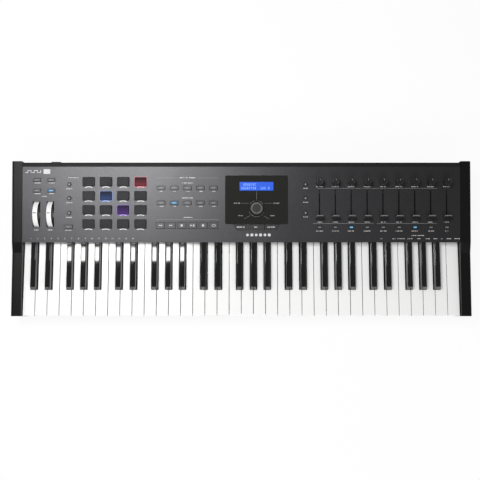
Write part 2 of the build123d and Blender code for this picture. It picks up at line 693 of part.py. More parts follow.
def round_caps():
    """Every round button as (group, place)."""
    caps = [("left_buttons", (LEFT_ROUND_X, v)) for v in ROUND_ROWS]
    return caps + [("bank_buttons", (RIGHT_ROUND_X, v)) for v in ROUND_ROWS]


def mode_face(corners, grow=0.0):
    """Outline of one of the buttons under the screen, whose ends may lean."""
    (low, high), (low_top, high_top) = corners
    face = outline((low, MODE_V[0]), (high, MODE_V[0]), (high_top, MODE_V[1]), (low_top, MODE_V[1]))
    return offset(face, grow, kind=Kind.INTERSECTION) if grow else face


def cap(face, foot, proud, edge):
    """A cap standing from its foot to a little above the panel, with a softened top edge."""
    shape = extrude(Pos(0, 0, foot) * face, proud - foot)
    return fillet(top_edges(shape), edge)


def rectangle_cap(place, size):
    shape = cap(Pos(*place) * RectangleRounded(*size, BUTTON_CORNER), CAP_FOOT, BUTTON_PROUD, BUTTON_EDGE)
    brim_top = -PANEL_THICKNESS - FIT
    x, v = place
    return shape + block(around(x, size[0] - 2), around(v, size[1], CAP_LEDGE), (CAP_FOOT, brim_top))


def pad(place):
    return cap(Pos(*place) * RectangleRounded(*PAD_SIZE, PAD_CORNER), PAD_FOOT, PAD_PROUD, PAD_EDGE)


def save_buttons():
    groups = {}
    for name, place, size in rectangle_caps():
        groups.setdefault(name, []).append(panel * rectangle_cap(place, size))
    for name, place in round_caps():
        shape = cap(Pos(*place) * Circle(ROUND_R), CAP_FOOT, BUTTON_PROUD, ROUND_EDGE)
        groups.setdefault(name, []).append(panel * shape)
    mode_caps = [cap(mode_face(c), CAP_FOOT, BUTTON_PROUD, BUTTON_EDGE) for c in MODE_OUTLINES]
    groups["mode_buttons"] = [panel * shape for shape in mode_caps]
    for name, shapes in groups.items():
        save(name, *shapes)
    rows = [[panel * pad((x, v)) for x in PAD_COLUMNS] for v in PAD_ROWS]
    save("rear_drum_pads", *rows[0], *rows[1])
    save("front_drum_pads", *rows[2], *rows[3])


def wheel_slot_half(depth):
    """Half the length of the opening that clears the wheels at a depth under the panel's face."""
    return math.sqrt(WHEEL_R**2 - (depth + WHEEL_W) ** 2) + 2 * FIT


def cut_for(size, corner):
    """The opening round a rectangular cap."""
    return RectangleRounded(size[0] + 2 * FIT, size[1] + 2 * FIT, corner + FIT)


def panel_openings():
    """Everything that is cut through the panel, in the panel's own plane."""
    cuts = [Pos(*place) * cut_for(size, BUTTON_CORNER) for _, place, size in rectangle_caps()]
    cuts += [Pos(x, v) * cut_for(PAD_SIZE, PAD_CORNER) for x in PAD_COLUMNS for v in PAD_ROWS]
    cuts += [Pos(*place) * Circle(ROUND_R + FIT) for _, place in round_caps()]
    cuts += [mode_face(corners, FIT) for corners in MODE_OUTLINES]
    cuts += [Pos(x, KNOB_V) * Circle(SHAFT_HOLE_R) for x in STRIP_X]
    cuts.append(Pos(*ENCODER_PLACE) * Circle(SHAFT_HOLE_R))
    cuts += [patch(around(x, FADER_SLOT_WIDTH), FADER_SLOT_V) for x in STRIP_X]
    cuts += [patch(around(x, WHEEL_SLOT[0]), around(WHEEL_V, WHEEL_SLOT[1])) for x in WHEEL_X]
    cuts.append(Pos(*SCREEN_PLACE) * Rectangle(MODULE_SIZE[0] + 2 * FIT, MODULE_SIZE[1] + 2 * FIT))
    return cuts


def save_top_panel():
    plan = patch((-INNER_X + FIT, INNER_X - FIT), (0, PANEL_LENGTH))
    plan -= panel_openings()
    sheet = extrude(Pos(0, 0, -PANEL_THICKNESS) * plan, PANEL_THICKNESS)
    sheet += block((-INNER_X + FIT, INNER_X - FIT), (0, PANEL_THICKNESS), (-PANEL_LIP, -1))
    for x, v in BOSS_PLACES + SIDE_BOSS_PLACES:
        sheet += post(x, v, (BOARD_TOP, -PANEL_THICKNESS), BOSS_R)
        sheet -= post(x, v, (BOARD_TOP, BOARD_UNDER + SCREW_LENGTH + FIT), PILOT_R)
    save("top_panel", panel * sheet)


def save_boards():
    boards = []
    for x, v in (MAIN_PANEL_BOARD, SIDE_PANEL_BOARD):
        board = block(x, v, (BOARD_UNDER, BOARD_TOP))
        for place in BOSS_PLACES + SIDE_BOSS_PLACES:
            board -= post(*place, (BOARD_UNDER, BOARD_TOP), HOLE_R)
        boards.append(panel * board)
    main = block(MAIN_BOARD_X, MAIN_BOARD_Y, (CHASSIS_BOTTOM, BOARD_LEVEL))
    for place in MAIN_BOARD_POSTS:
        main -= post(*place, (CHASSIS_BOTTOM, BOARD_LEVEL), HOLE_R)
    key_board = block(around(0, KEY_SPAN - 4), KEY_BOARD_Y, (CHASSIS_TOP, CHASSIS_TOP + BOARD_THICKNESS))
    save("circuit_boards", *boards, main, key_board)


def turning_body(place, size):
    """An encoder's case with its bushing, on the panel board."""
    x, v = place
    body = block(around(x, size), around(v, size), (BOARD_TOP, BOARD_TOP + 6))
    body += post(x, v, (BOARD_TOP + 6, -PANEL_THICKNESS - FIT), SHAFT_R + 1)
    return body - post(x, v, (BOARD_TOP + 1.2, 0), SHAFT_R + RUNNING)


def fader_body(x):
    rest, end = FADER_REST_V, FADER_REST_V + FADER_TRAVEL
    width, beyond, height = FADER_CASE
    body = block(around(x, width), (rest - beyond, end + beyond), (BOARD_TOP, BOARD_TOP + height))
    track = (rest - LEVER[1] / 2 - FIT, end + LEVER[1] / 2 + FIT)
    return body - block(around(x, LEVER[0], FIT), track, (LEVER_FOOT - FIT, 0))


def tact_switch(place):
    top = CAP_FOOT - BUTTON_TRAVEL - FIT
    radius, height = TACT_PLUNGER
    base = block(around(place[0], TACT_SIZE), around(place[1], TACT_SIZE), (BOARD_TOP, top - height))
    return base + post(*place, (top - height, top), radius)


def save_control_bodies():
    places = [place for _, place, _ in rectangle_caps()] + [place for _, place in round_caps()]
    for (low, high), (low_top, high_top) in MODE_OUTLINES:
        places.append(((low + high + low_top + high_top) / 4, sum(MODE_V) / 2))
    bodies = [tact_switch(place) for place in places]
    bodies += [turning_body((x, KNOB_V), KNOB_ENCODER_SIZE) for x in STRIP_X]
    bodies.append(turning_body(ENCODER_PLACE, MAIN_ENCODER_SIZE))
    bodies += [fader_body(x) for x in STRIP_X]
    sensor_top = PAD_FOOT - PAD_TRAVEL - FIT
    x = (PAD_COLUMNS[0] - PAD_SIZE[0] / 2, PAD_COLUMNS[-1] + PAD_SIZE[0] / 2)
    v = (PAD_ROWS[-1] - PAD_SIZE[1] / 2, PAD_ROWS[0] + PAD_SIZE[1] / 2)
    bodies.append(block(x, v, (BOARD_TOP, sensor_top)))
    save("control_bodies", *[panel * body for body in bodies])


def save_knobs():
    shaft = post(0, 0, (LEVER_FOOT, KNOB_HEIGHT - 2), SHAFT_R)
    foot, top = KNOB_CLEARANCE, KNOB_CLEARANCE + KNOB_HEIGHT
    profile = outline((0, foot), (KNOB_R, foot), (KNOB_TOP_R, top), (0, top))
    knob = revolve(Plane.XZ * profile, Axis.Z)
    knob = fillet(top_edges(knob), 1.0)
    knob -= post(0, 0, (foot, 9), KNOB_TOP_R - 1.6) - post(0, 0, (foot, 9), SHAFT_R + 1.5)
    knob -= post(0, 0, (foot, KNOB_HEIGHT - 2 + SEAT), SHAFT_R + RUNNING)
    for number, x in enumerate(STRIP_X, 1):
        place = Pos(x, KNOB_V, 0)
        save(f"knob_{number}", panel * (place * knob), panel * (place * shaft))


def save_faders():
    foot, half = FADER_CLEARANCE, FADER_CAP[1] / 2
    top = foot + FADER_CAP_HEIGHT
    crest = half - 1.2
    profile = make_face(
        Polyline((crest, top), (half, foot), (-half, foot), (-crest, top))
        + ThreePointArc((-crest, top), (0, top - FADER_DISH), (crest, top))
    )
    shape = side_extrusion(profile, around(0, FADER_CAP[0]))
    shape -= block(around(0, LEVER[0], RUNNING), around(0, LEVER[1], RUNNING), (foot, top - 4 + SEAT))
    lever = block(around(0, LEVER[0]), around(0, LEVER[1]), (LEVER_FOOT, top - 4))
    for number, x in enumerate(STRIP_X, 1):
        place = Pos(x, FADER_REST_V, 0)
        save(f"fader_{number}", panel * (place * shape), panel * (place * lever))


def save_main_encoder():
    foot = BEZEL_THICKNESS + ENCODER_TRAVEL + FIT
    top = foot + ENCODER_HEIGHT
    shaft_top = top - 3
    place = Pos(*ENCODER_PLACE, 0)
    shaft = post(0, 0, (LEVER_FOOT, shaft_top), SHAFT_R)
    knob = fillet(top_edges(post(0, 0, (foot, top), ENCODER_R)), 1.5)
    knob -= post(0, 0, (foot, foot + 9), ENCODER_R - 2) - post(0, 0, (foot, foot + 9), SHAFT_R + 1.5)
    knob -= post(0, 0, (foot, shaft_top + SEAT), SHAFT_R + RUNNING)
    save("main_encoder_shaft", panel * (place * shaft))
    save("main_encoder_knob", panel * (place * knob))


def save_bezel():
    x, v = sum(BEZEL_X) / 2, sum(BEZEL_V) / 2
    size = (BEZEL_X[1] - BEZEL_X[0], BEZEL_V[1] - BEZEL_V[0])
    plate = Pos(x, v) * RectangleRounded(*size, BEZEL_CORNER)
    plate -= Pos(*SCREEN_PLACE) * Rectangle(*SCREEN_SIZE)
    plate -= Pos(*ENCODER_PLACE) * Circle(SHAFT_HOLE_R)
    save("display_bezel", panel * extrude(plate, BEZEL_THICKNESS))


def save_display():
    x, v = SCREEN_PLACE
    module = block(around(x, MODULE_SIZE[0]), around(v, MODULE_SIZE[1]), (-MODULE_DEPTH, 0))
    glass = (0, BEZEL_THICKNESS - GLASS_SETBACK)
    module += block(around(x, SCREEN_SIZE[0], -FIT), around(v, SCREEN_SIZE[1], -FIT), glass)
    for corner_x in around(x, MODULE_SIZE[0], -3):
        for corner_v in around(v, MODULE_SIZE[1], -3):
            module += post(corner_x, corner_v, (BOARD_TOP, -MODULE_DEPTH), 2.0)
    save("display_module", panel * module)


def save_wheels():
    disc = bar(around(0, WHEEL_WIDTH), 0, 0, WHEEL_R)
    disc = fillet(disc.edges().filter_by(GeomType.CIRCLE), WHEEL_EDGE)
    for side in (-1, 1):
        recess_x = sorted((side * WHEEL_WIDTH / 2, side * (WHEEL_WIDTH / 2 - WHEEL_RECESS)))
        disc -= bar(recess_x, 0, 0, WHEEL_R - WHEEL_RIM) - bar(recess_x, 0, 0, WHEEL_HUB_R)
    disc -= bar(around(0, 2 * WHEEL_WIDTH), 0, 0, ROD_R + RUNNING)
    for name, x in zip(("pitch_wheel", "modulation_wheel"), WHEEL_X):
        save(name, panel * (Pos(x, WHEEL_V, WHEEL_W) * disc))


def save_cradle():
    """The frame that hangs under the panel and carries both wheels on one pin."""
    under = (-PANEL_THICKNESS - CRADLE_SHEET, -PANEL_THICKNESS)
    side = WHEEL_WIDTH / 2 + 1
    cheeks = [(x + s * (side + CRADLE_SHEET / 2)) for x in WHEEL_X for s in (-1, 1)]
    frame_x = (cheeks[0] - 8, cheeks[-1] + 8)
    half = wheel_slot_half(-under[0])
    frame = block(frame_x, around(WHEEL_V, 2 * half + 10), under)
    for x in WHEEL_X:
        frame -= block(around(x, 2 * side), around(WHEEL_V, 2 * half), under)
    for x in cheeks:
        frame += block(around(x, CRADLE_SHEET), around(WHEEL_V, 24), (WHEEL_W - 7, -PANEL_THICKNESS))
    pin_x = (cheeks[0] - CRADLE_SHEET / 2, cheeks[-1] + CRADLE_SHEET / 2)
    frame -= panel_bar(pin_x, ROD_R + RUNNING)
    save("wheel_cradle", panel * frame, panel * panel_bar(pin_x, ROD_R))


def panel_bar(x, radius):
    return bar(x, WHEEL_V, WHEEL_W, radius)


# ---------------------------------------------------------------- build
os.makedirs("parts", exist_ok=True)
save_keys()
save_bottom_case()
save_feet()
save_cheeks()
save_rear_housing()
save_sockets()
save_rocker()
save_chassis()
save_key_springs()
save_felt()
save_contact_strips()
save_top_panel()
save_boards()
save_control_bodies()
save_buttons()
save_knobs()
save_faders()
save_main_encoder()
save_bezel()
save_display()
save_wheels()
save_cradle()
save_screws()
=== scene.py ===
import json
import math
import random

import bmesh
import bpy
from mathutils import Matrix, Vector


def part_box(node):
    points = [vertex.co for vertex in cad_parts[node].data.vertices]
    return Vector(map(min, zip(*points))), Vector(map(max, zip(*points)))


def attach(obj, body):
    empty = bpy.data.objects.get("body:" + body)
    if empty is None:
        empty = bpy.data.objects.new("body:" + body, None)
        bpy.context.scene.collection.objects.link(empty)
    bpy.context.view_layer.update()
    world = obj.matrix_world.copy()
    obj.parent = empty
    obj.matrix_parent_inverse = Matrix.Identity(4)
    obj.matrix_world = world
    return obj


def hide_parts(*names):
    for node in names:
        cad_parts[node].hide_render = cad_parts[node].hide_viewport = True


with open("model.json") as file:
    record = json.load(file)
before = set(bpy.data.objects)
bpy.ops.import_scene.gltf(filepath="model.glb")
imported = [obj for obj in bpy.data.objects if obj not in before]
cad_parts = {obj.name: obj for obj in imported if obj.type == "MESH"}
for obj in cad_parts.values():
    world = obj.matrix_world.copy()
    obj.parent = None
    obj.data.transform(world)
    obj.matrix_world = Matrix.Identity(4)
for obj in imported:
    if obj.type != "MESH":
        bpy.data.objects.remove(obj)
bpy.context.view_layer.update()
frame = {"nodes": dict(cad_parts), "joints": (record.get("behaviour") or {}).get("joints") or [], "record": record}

MM = 0.001

# ---------------------------------------------------------------- the panel's own plane
# Places on the panel are (x, v, w) in millimetres: x along the keyboard, v up the slope from the
# panel's front edge and w out of its face.
JOINTS = {joint["name"]: joint for joint in frame["joints"]}
UP_SLOPE = Vector(JOINTS["fader_1_slide"]["axis"]).normalized()
OUT = -Vector(JOINTS["knob_1_turn"]["axis"]).normalized()
ON_FACE = Vector(JOINTS["knob_1_turn"]["pos_m"])
PANEL_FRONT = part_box("top_panel")[0][1]
PANEL_ORIGIN = ON_FACE - UP_SLOPE * ((ON_FACE.y - PANEL_FRONT) / UP_SLOPE.y)
PANEL_ORIGIN.x = 0.0
PANEL = Matrix((
    (MM, 0, 0, PANEL_ORIGIN.x),
    (0, UP_SLOPE.y * MM, OUT.y * MM, PANEL_ORIGIN.y),
    (0, UP_SLOPE.z * MM, OUT.z * MM, PANEL_ORIGIN.z),
    (0, 0, 0, 1),
))


def on_panel(point):
    """A world point as (x, v, w) on the panel, in millimetres."""
    return PANEL.inverted() @ Vector(point)


def middle(node):
    low, high = (Vector(corner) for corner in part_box(node))
    return (low + high) / 2


STRIP_COUNT = 9
STRIPS = [on_panel(middle(f"knob_{i}")).x for i in range(1, STRIP_COUNT + 1)]
KNOB_V = on_panel(ON_FACE).y
FADER_V = on_panel(middle("fader_1")).y
PAD_SIZE = (22.8, 17.2)
PAD_PROUD = 2.2
PAD_LEFT, PAD_RIGHT = (1000 * corner[0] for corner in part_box("rear_drum_pads"))
PAD_PITCH = ((PAD_RIGHT - PAD_LEFT - PAD_SIZE[0]) / 3, 27.2)
PAD_X = [PAD_LEFT + PAD_SIZE[0] / 2 + PAD_PITCH[0] * i for i in range(4)]
PAD_V = [117.0 - PAD_PITCH[1] * i for i in range(4)]
BUTTON_PROUD = 1.5
OCTAVE_X = (-394.9, -367.4)
OCTAVE_V = (120.7, 100.0)
OCTAVE_SIZE = (15.0, 6.6)
ROUND_V = (112.0, 85.1, 56.8)
ROUND_X = (-332.5, 124.1)
SHIFT = (-333.8, 30.0)
SHIFT_SIZE = (16.8, 7.9)
COMMAND_X = [-155.0 + 25.25 * i for i in range(5)]
COMMAND_V = (105.2, 76.2)
COMMAND_SIZE = (16.0, 7.8)
TRANSPORT_X = [-156.2 + 20.6 * i for i in range(6)]
TRANSPORT_V = 32.6
TRANSPORT_SIZE = (16.7, 12.7)
SELECT_V = 29.2
SELECT_SIZE = (9.0, 6.6)
BEZEL_FACE = 1.2
SCREEN = (29.3, 108.4)
SCREEN_SIZE = (65.2, 16.8)
ENCODER = on_panel(JOINTS["main_encoder_turn"]["pos_m"])
WHEEL_NODES = ("pitch_wheel", "modulation_wheel")

# ---------------------------------------------------------------- colours
CHARCOAL = (0.005, 0.005, 0.0053, 1)
INK = (0.52, 0.52, 0.53, 1)
LIT_BLUE = (0.05, 0.42, 1.0, 1)
PAD_LIGHTS = {
    (0, 3): (1.0, 0.10, 0.16, 1), (1, 1): (0.12, 0.3, 1.0, 1), (2, 2): (0.36, 0.1, 0.95, 1)
}


# ---------------------------------------------------------------- node groups


def group_value(tree, name, kind, direction, default=None):
    socket = tree.interface.new_socket(name=name, in_out=direction, socket_type=kind)
    if default is not None:
        socket.default_value = default


def new_group(name, inputs, outputs):
    """An empty group with its sockets, given as (name, kind, default)."""
    tree = bpy.data.node_groups.new(name, "ShaderNodeTree")
    for socket_name, kind, default in inputs:
        group_value(tree, socket_name, kind, "INPUT", default)
    for socket_name, kind in outputs:
        group_value(tree, socket_name, kind, "OUTPUT")
    return tree, tree.nodes.new("NodeGroupInput"), tree.nodes.new("NodeGroupOutput")


def math_node(tree, operation, first, second):
    node = tree.nodes.new("ShaderNodeMath")
    node.operation = operation
    for socket, value in zip(node.inputs, (first, second)):
        if isinstance(value, (int, float)):
            socket.default_value = value
        else:
            tree.links.new(value, socket)
    return node.outputs[0]


def noise(tree, scale, detail=3.0):
    """A noise texture on object coordinates, with its scale from a socket or a number."""
    coordinates = tree.nodes.new("ShaderNodeTexCoord")
    texture = tree.nodes.new("ShaderNodeTexNoise")
    texture.inputs["Detail"].default_value = detail
    tree.links.new(coordinates.outputs["Object"], texture.inputs["Vector"])
    if isinstance(scale, (int, float)):
        texture.inputs["Scale"].default_value = scale
    else:
        tree.links.new(scale, texture.inputs["Scale"])
    return texture.outputs["Fac"]


def build_grain():
    """Moulded or sprayed grain: a height, and a colour that wanders a little."""
    tree, inside, outside = new_group(
        "surface_grain",
        [("Color", "NodeSocketColor", (0.5, 0.5, 0.5, 1)), ("Scale", "NodeSocketFloat", 900.0),
         ("Variation", "NodeSocketFloat", 0.1)],
        [("Color", "NodeSocketColor"), ("Height", "NodeSocketFloat")],
    )
    fine = noise(tree, inside.outputs["Scale"])
    coarse = noise(tree, math_node(tree, "MULTIPLY", inside.outputs["Scale"], 0.02), 5.0)
    shade = math_node(tree, "SUBTRACT", math_node(tree, "ADD", fine, coarse), 1.0)
    varied = math_node(tree, "MULTIPLY", shade, inside.outputs["Variation"])
    factor = math_node(tree, "ADD", varied, 1.0)
    mix = tree.nodes.new("ShaderNodeVectorMath")
    mix.operation = "SCALE"
    tree.links.new(inside.outputs["Color"], mix.inputs[0])
    tree.links.new(factor, mix.inputs["Scale"])
    tree.links.new(mix.outputs[0], outside.inputs["Color"])
    tree.links.new(fine, outside.inputs["Height"])
    return tree


def build_smudge():
    """Handling marks: roughness that varies in soft patches round a middle value."""
    tree, inside, outside = new_group(
        "handling_marks",
        [("Roughness", "NodeSocketFloat", 0.4), ("Scale", "NodeSocketFloat", 30.0),
         ("Amount", "NodeSocketFloat", 0.1)],
        [("Roughness", "NodeSocketFloat")],
    )
    patches = noise(tree, inside.outputs["Scale"], 6.0)
    offset = math_node(tree, "SUBTRACT", patches, 0.5)
    centred = math_node(tree, "MULTIPLY", offset, inside.outputs["Amount"])
    rough = math_node(tree, "ADD", centred, inside.outputs["Roughness"])
    tree.links.new(rough, outside.inputs["Roughness"])
    return tree


def build_flake():
    """Metal flakes in a clear paint: small cells, each of its own brightness."""
    tree, inside, outside = new_group(
        "paint_flake",
        [("Color", "NodeSocketColor", (0.1, 0.1, 0.1, 1)), ("Scale", "NodeSocketFloat", 2500.0),
         ("Amount", "NodeSocketFloat", 0.3)],
        [("Color", "NodeSocketColor")],
    )
    coordinates = tree.nodes.new("ShaderNodeTexCoord")
    cells = tree.nodes.new("ShaderNodeTexVoronoi")
    tree.links.new(coordinates.outputs["Object"], cells.inputs["Vector"])
    tree.links.new(inside.outputs["Scale"], cells.inputs["Scale"])
    split = tree.nodes.new("ShaderNodeSeparateColor")
    tree.links.new(cells.outputs["Color"], split.inputs[0])
    centred = math_node(tree, "SUBTRACT", split.outputs[0], 0.5)
    varied = math_node(tree, "MULTIPLY", centred, inside.outputs["Amount"])
    factor = math_node(tree, "ADD", varied, 1.0)
    mix = tree.nodes.new("ShaderNodeVectorMath")
    mix.operation = "SCALE"
    tree.links.new(inside.outputs["Color"], mix.inputs[0])
    tree.links.new(factor, mix.inputs["Scale"])
    tree.links.new(mix.outputs[0], outside.inputs["Color"])
    return tree


GRAIN = build_grain()
SMUDGE = build_smudge()
FLAKE = build_flake()


# ---------------------------------------------------------------- materials


def place_group(material, tree, **values):
    node = material.node_tree.nodes.new("ShaderNodeGroup")
    node.node_tree = tree
    for name, value in values.items():
        node.inputs[name].default_value = value
    return node


COAT_ROUGHNESS = 0.08
GRAIN_DEPTH = 0.05 * MM


def finish(name, colour, roughness, metallic=0.0, specular=0.5, coat=0.0, grain=900.0,
           variation=0.1, bump=0.1, marks=0.1, mark_scale=30.0, flake=None):
    """A surface with grain in its colour and relief, and handling marks in its gloss."""
    material = bpy.data.materials.new(name)
    material.use_nodes = True
    links, shader = material.node_tree.links, material.node_tree.nodes["Principled BSDF"]
    shader.inputs["Metallic"].default_value = metallic
    shader.inputs["Specular IOR Level"].default_value = specular
    shader.inputs["Coat Weight"].default_value = coat
    shader.inputs["Coat Roughness"].default_value = COAT_ROUGHNESS
    surface = place_group(material, GRAIN, Color=colour, Scale=grain, Variation=variation)
    colour_out = surface.outputs["Color"]
    if flake:
        sparkle = place_group(material, FLAKE, Scale=flake[0], Amount=flake[1])
        links.new(colour_out, sparkle.inputs["Color"])
        colour_out = sparkle.outputs["Color"]
    links.new(colour_out, shader.inputs["Base Color"])
    gloss = place_group(material, SMUDGE, Roughness=roughness, Scale=mark_scale, Amount=marks)
    links.new(gloss.outputs["Roughness"], shader.inputs["Roughness"])
    relief = material.node_tree.nodes.new("ShaderNodeBump")
    relief.inputs["Strength"].default_value = bump
    relief.inputs["Distance"].default_value = GRAIN_DEPTH
    links.new(surface.outputs["Height"], relief.inputs["Height"])
    links.new(relief.outputs["Normal"], shader.inputs["Normal"])
    return material


def glowing(name, colour, strength, body=CHARCOAL, roughness=0.35):
    """A light window: its own colour, lit from behind, a little uneven."""
    material = finish(name, body, roughness, specular=0.35, bump=0.05, marks=0.05)
    tree, shader = material.node_tree, material.node_tree.nodes["Principled BSDF"]
    uneven = place_group(material, GRAIN, Color=colour, Scale=400.0, Variation=0.3)
    tree.links.new(uneven.outputs["Color"], shader.inputs["Emission Color"])
    shader.inputs["Emission Strength"].default_value = strength
    return material


def wheel_finish(x, half):
    """White on the tread and near black on both sides: white up to a distance either side of the wheel's middle.
    """
    material = finish("wheel_white_dark_sides", (0.72, 0.72, 0.71, 1), 0.32, coat=0.2, grain=1500.0,
                      variation=0.04, marks=0.12)
    tree, shader = material.node_tree, material.node_tree.nodes["Principled BSDF"]
    coordinates = tree.nodes.new("ShaderNodeTexCoord")
    split = tree.nodes.new("ShaderNodeSeparateXYZ")
    tree.links.new(coordinates.outputs["Object"], split.inputs[0])
    off_middle = math_node(tree, "ABSOLUTE", math_node(tree, "SUBTRACT", split.outputs[0], x), 0.0)
    # The mask for the near-black sides, beyond the white tread.
    hub = math_node(tree, "GREATER_THAN", off_middle, half)
    mix = tree.nodes.new("ShaderNodeMix")
    mix.data_type = "RGBA"
    tree.links.new(hub, mix.inputs["Factor"])
    tree.links.new(shader.inputs["Base Color"].links[0].from_socket, mix.inputs["A"])
    mix.inputs["B"].default_value = CHARCOAL
    tree.links.new(mix.outputs["Result"], shader.inputs["Base Color"])
    return material


PAINT = finish("panel_metallic", (0.0655, 0.065, 0.0685, 1), 0.4, metallic=0.9, grain=700.0,
               variation=0.1, bump=0.06, marks=0.08, mark_scale=12.0, flake=(2600.0, 0.5))
CASE = finish("case_textured", CHARCOAL, 0.34, specular=0.22, grain=1400.0,
              variation=0.25, bump=0.35, marks=0.16)
HOUSING = finish("rear_rail", (0.010, 0.010, 0.011, 1), 0.58, specular=0.2, grain=1400.0,
                 bump=0.2, marks=0.1)
WHITE_KEY = finish("key_white", (0.77, 0.77, 0.765, 1), 0.22, coat=0.4, grain=500.0,
                   variation=0.03, bump=0.03)
BLACK_KEY = finish("key_black", (0.006, 0.006, 0.0065, 1), 0.035, specular=0.6, grain=600.0,
                   variation=0.2, bump=0.002, marks=0.02)
BEZEL = finish("bezel_gloss", (0.009, 0.0095, 0.007, 1), 0.08, coat=1.0, grain=300.0,
               variation=0.2, bump=0.002, marks=0.04, mark_scale=60.0)
SCREEN_BLUE = glowing("screen_blue", (0.015, 0.115, 0.84, 1), 0.85, (0.004, 0.01, 0.04, 1))
SCREEN_TEXT = glowing("screen_segments", (0.25, 0.45, 1.0, 1), 0.62, (0.1, 0.2, 0.4, 1))
KNOB = finish("knob_satin", (0.008, 0.008, 0.009, 1), 0.36, grain=1800.0,
              variation=0.2, bump=0.2, marks=0.14)
# The knob tops are a little lighter than the knob sides: a painted sheen where the top face catches the light.
KNOB_TOP_PAINTED_SHEEN = finish("knob_cap", (0.012, 0.012, 0.013, 1), 0.34, grain=1500.0, bump=0.1, marks=0.1)
ENCODER_CAP = finish("encoder_cap", (0.085, 0.083, 0.078, 1), 0.5, grain=1600.0, bump=0.15)
PAD = finish("pad_rubber", (0.010, 0.0095, 0.0125, 1), 0.58, specular=0.32, grain=1100.0,
             variation=0.3, bump=0.5, marks=0.2)
BUTTON = finish("button_satin", (0.014, 0.014, 0.015, 1), 0.45, grain=1600.0,
                variation=0.2, bump=0.25)
LENS = finish("button_window", (0.045, 0.045, 0.048, 1), 0.35, grain=1600.0,
              variation=0.15, bump=0.1)
PRINT = finish("printed_ink", INK, 0.5, grain=3000.0, variation=0.25, bump=0.2)
PRINT_DIM = finish("printed_ink_fine", (0.24, 0.24, 0.245, 1), 0.5, grain=3000.0,
                   variation=0.25, bump=0.2)
STEEL = finish("bright_steel", (0.5, 0.5, 0.51, 1), 0.28, metallic=1.0, grain=2500.0, bump=0.1)
NICKEL = finish("nickel_ring", (0.6, 0.58, 0.54, 1), 0.2, metallic=1.0, grain=2500.0, bump=0.05)
DARK_STEEL = finish("black_screws", (0.03, 0.03, 0.032, 1), 0.4, metallic=0.8, grain=2500.0)
SPRING = finish("spring_wire", (0.45, 0.45, 0.46, 1), 0.3, metallic=1.0, grain=2500.0)
FELT = finish("red_felt", (0.35, 0.03, 0.035, 1), 0.95, grain=3500.0, variation=0.6, bump=0.9)
SILICONE = finish("contact_silicone", (0.32, 0.33, 0.35, 1), 0.6, grain=1200.0)
FOOT = finish("foot_rubber", (0.014, 0.014, 0.014, 1), 0.8, grain=1500.0, bump=0.6)
BOARD = finish("circuit_laminate", (0.008, 0.022, 0.013, 1), 0.35, coat=0.3, grain=500.0,
               variation=0.3)
MOULDED = finish("moulded_black", (0.02, 0.02, 0.021, 1), 0.5, grain=1500.0, bump=0.3)
WINDOW_WHITE = glowing("pad_window_white", (0.8, 0.82, 0.85, 1), 0.4, (0.5, 0.5, 0.5, 1))
WINDOW_DARK = finish("pad_gasket", (0.05, 0.05, 0.053, 1), 0.5, grain=1200.0)
BUTTON_BLUE = glowing("button_blue", LIT_BLUE, 0.22, (0.01, 0.03, 0.05, 1))
BUTTON_PALE = glowing("button_blue_core", (0.3, 0.72, 1.0, 1), 0.6, (0.2, 0.4, 0.5, 1))

NODE_FINISH = {
    "top_panel": PAINT, "bottom_case": CASE, "rear_housing": HOUSING,
    "left_cheek": CASE, "right_cheek": CASE,
    "keybed_chassis": STEEL, "key_springs": SPRING, "key_felt": FELT,
    "key_contact_strips": SILICONE,
    "circuit_boards": BOARD, "display_bezel": BEZEL, "display_module": SCREEN_BLUE,
    "control_bodies": MOULDED,
    "wheel_cradle": MOULDED, "rear_sockets": MOULDED, "rubber_feet": FOOT,
    "case_screws": DARK_STEEL, "power_rocker": BUTTON, "main_encoder_shaft": STEEL,
    "rear_drum_pads": PAD, "front_drum_pads": PAD,
}


def dress_nodes():
    """Gives every carried-over part its finish."""
    for name, node in frame["nodes"].items():
        if name in NODE_FINISH:
            chosen = NODE_FINISH[name]
        elif name.startswith("keys_"):
            chosen = BLACK_KEY if name.endswith("sharp") else WHITE_KEY
        elif name in WHEEL_NODES:
            chosen = wheel_finish(middle(name).x, 4.6 * MM)
        elif name.endswith("_buttons"):
            chosen = BUTTON
        else:
            chosen = KNOB
        node.data.materials.clear()
        node.data.materials.append(chosen)


# ---------------------------------------------------------------- making pieces


def add_piece(name, mesh, body, material):
    """Turns a bmesh into a finished piece that rides on a body."""
    bmesh.ops.recalc_face_normals(mesh, faces=mesh.faces)
    data = bpy.data.meshes.new(name)
    mesh.to_mesh(data)
    mesh.free()
    for item in material if isinstance(material, (list, tuple)) else [material]:
        data.materials.append(item)
    piece = bpy.data.objects.new(name, data)
    bpy.context.scene.collection.objects.link(piece)
    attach(piece, body)
    return piece


def tile(mesh, x, v, w, size, turn=0.0):
    """A small block lying on the panel, size (across, up the slope, thick), its underside at w."""
    place = PANEL @ Matrix.Translation((x, v, w + size[2] / 2)) @ Matrix.Rotation(turn, 4, "Z")
    place = place @ Matrix.Diagonal((*size, 1.0))
    return bmesh.ops.create_cube(mesh, size=1.0, matrix=place)["verts"]


def disc(mesh, x, v, w, radius, thick, segments=24):
    place = PANEL @ Matrix.Translation((x, v, w + thick / 2))
    bmesh.ops.create_cone(
        mesh, cap_ends=True, segments=segments, radius1=radius, radius2=radius, depth=thick,
        matrix=place
    )


def slab(mesh, outline, w, thick):
    """A flat shape on the panel from its corners (x, v), given a thickness."""
    corners = [mesh.verts.new(PANEL @ Vector((x, v, w))) for x, v in outline]
    face = mesh.faces.new(corners)
    grown = bmesh.ops.extrude_face_region(mesh, geom=[face])["geom"]
    raised = [item for item in grown if isinstance(item, bmesh.types.BMVert)]
    bmesh.ops.translate(mesh, verts=raised, vec=PANEL.to_3x3() @ Vector((0, 0, thick)))
    return corners


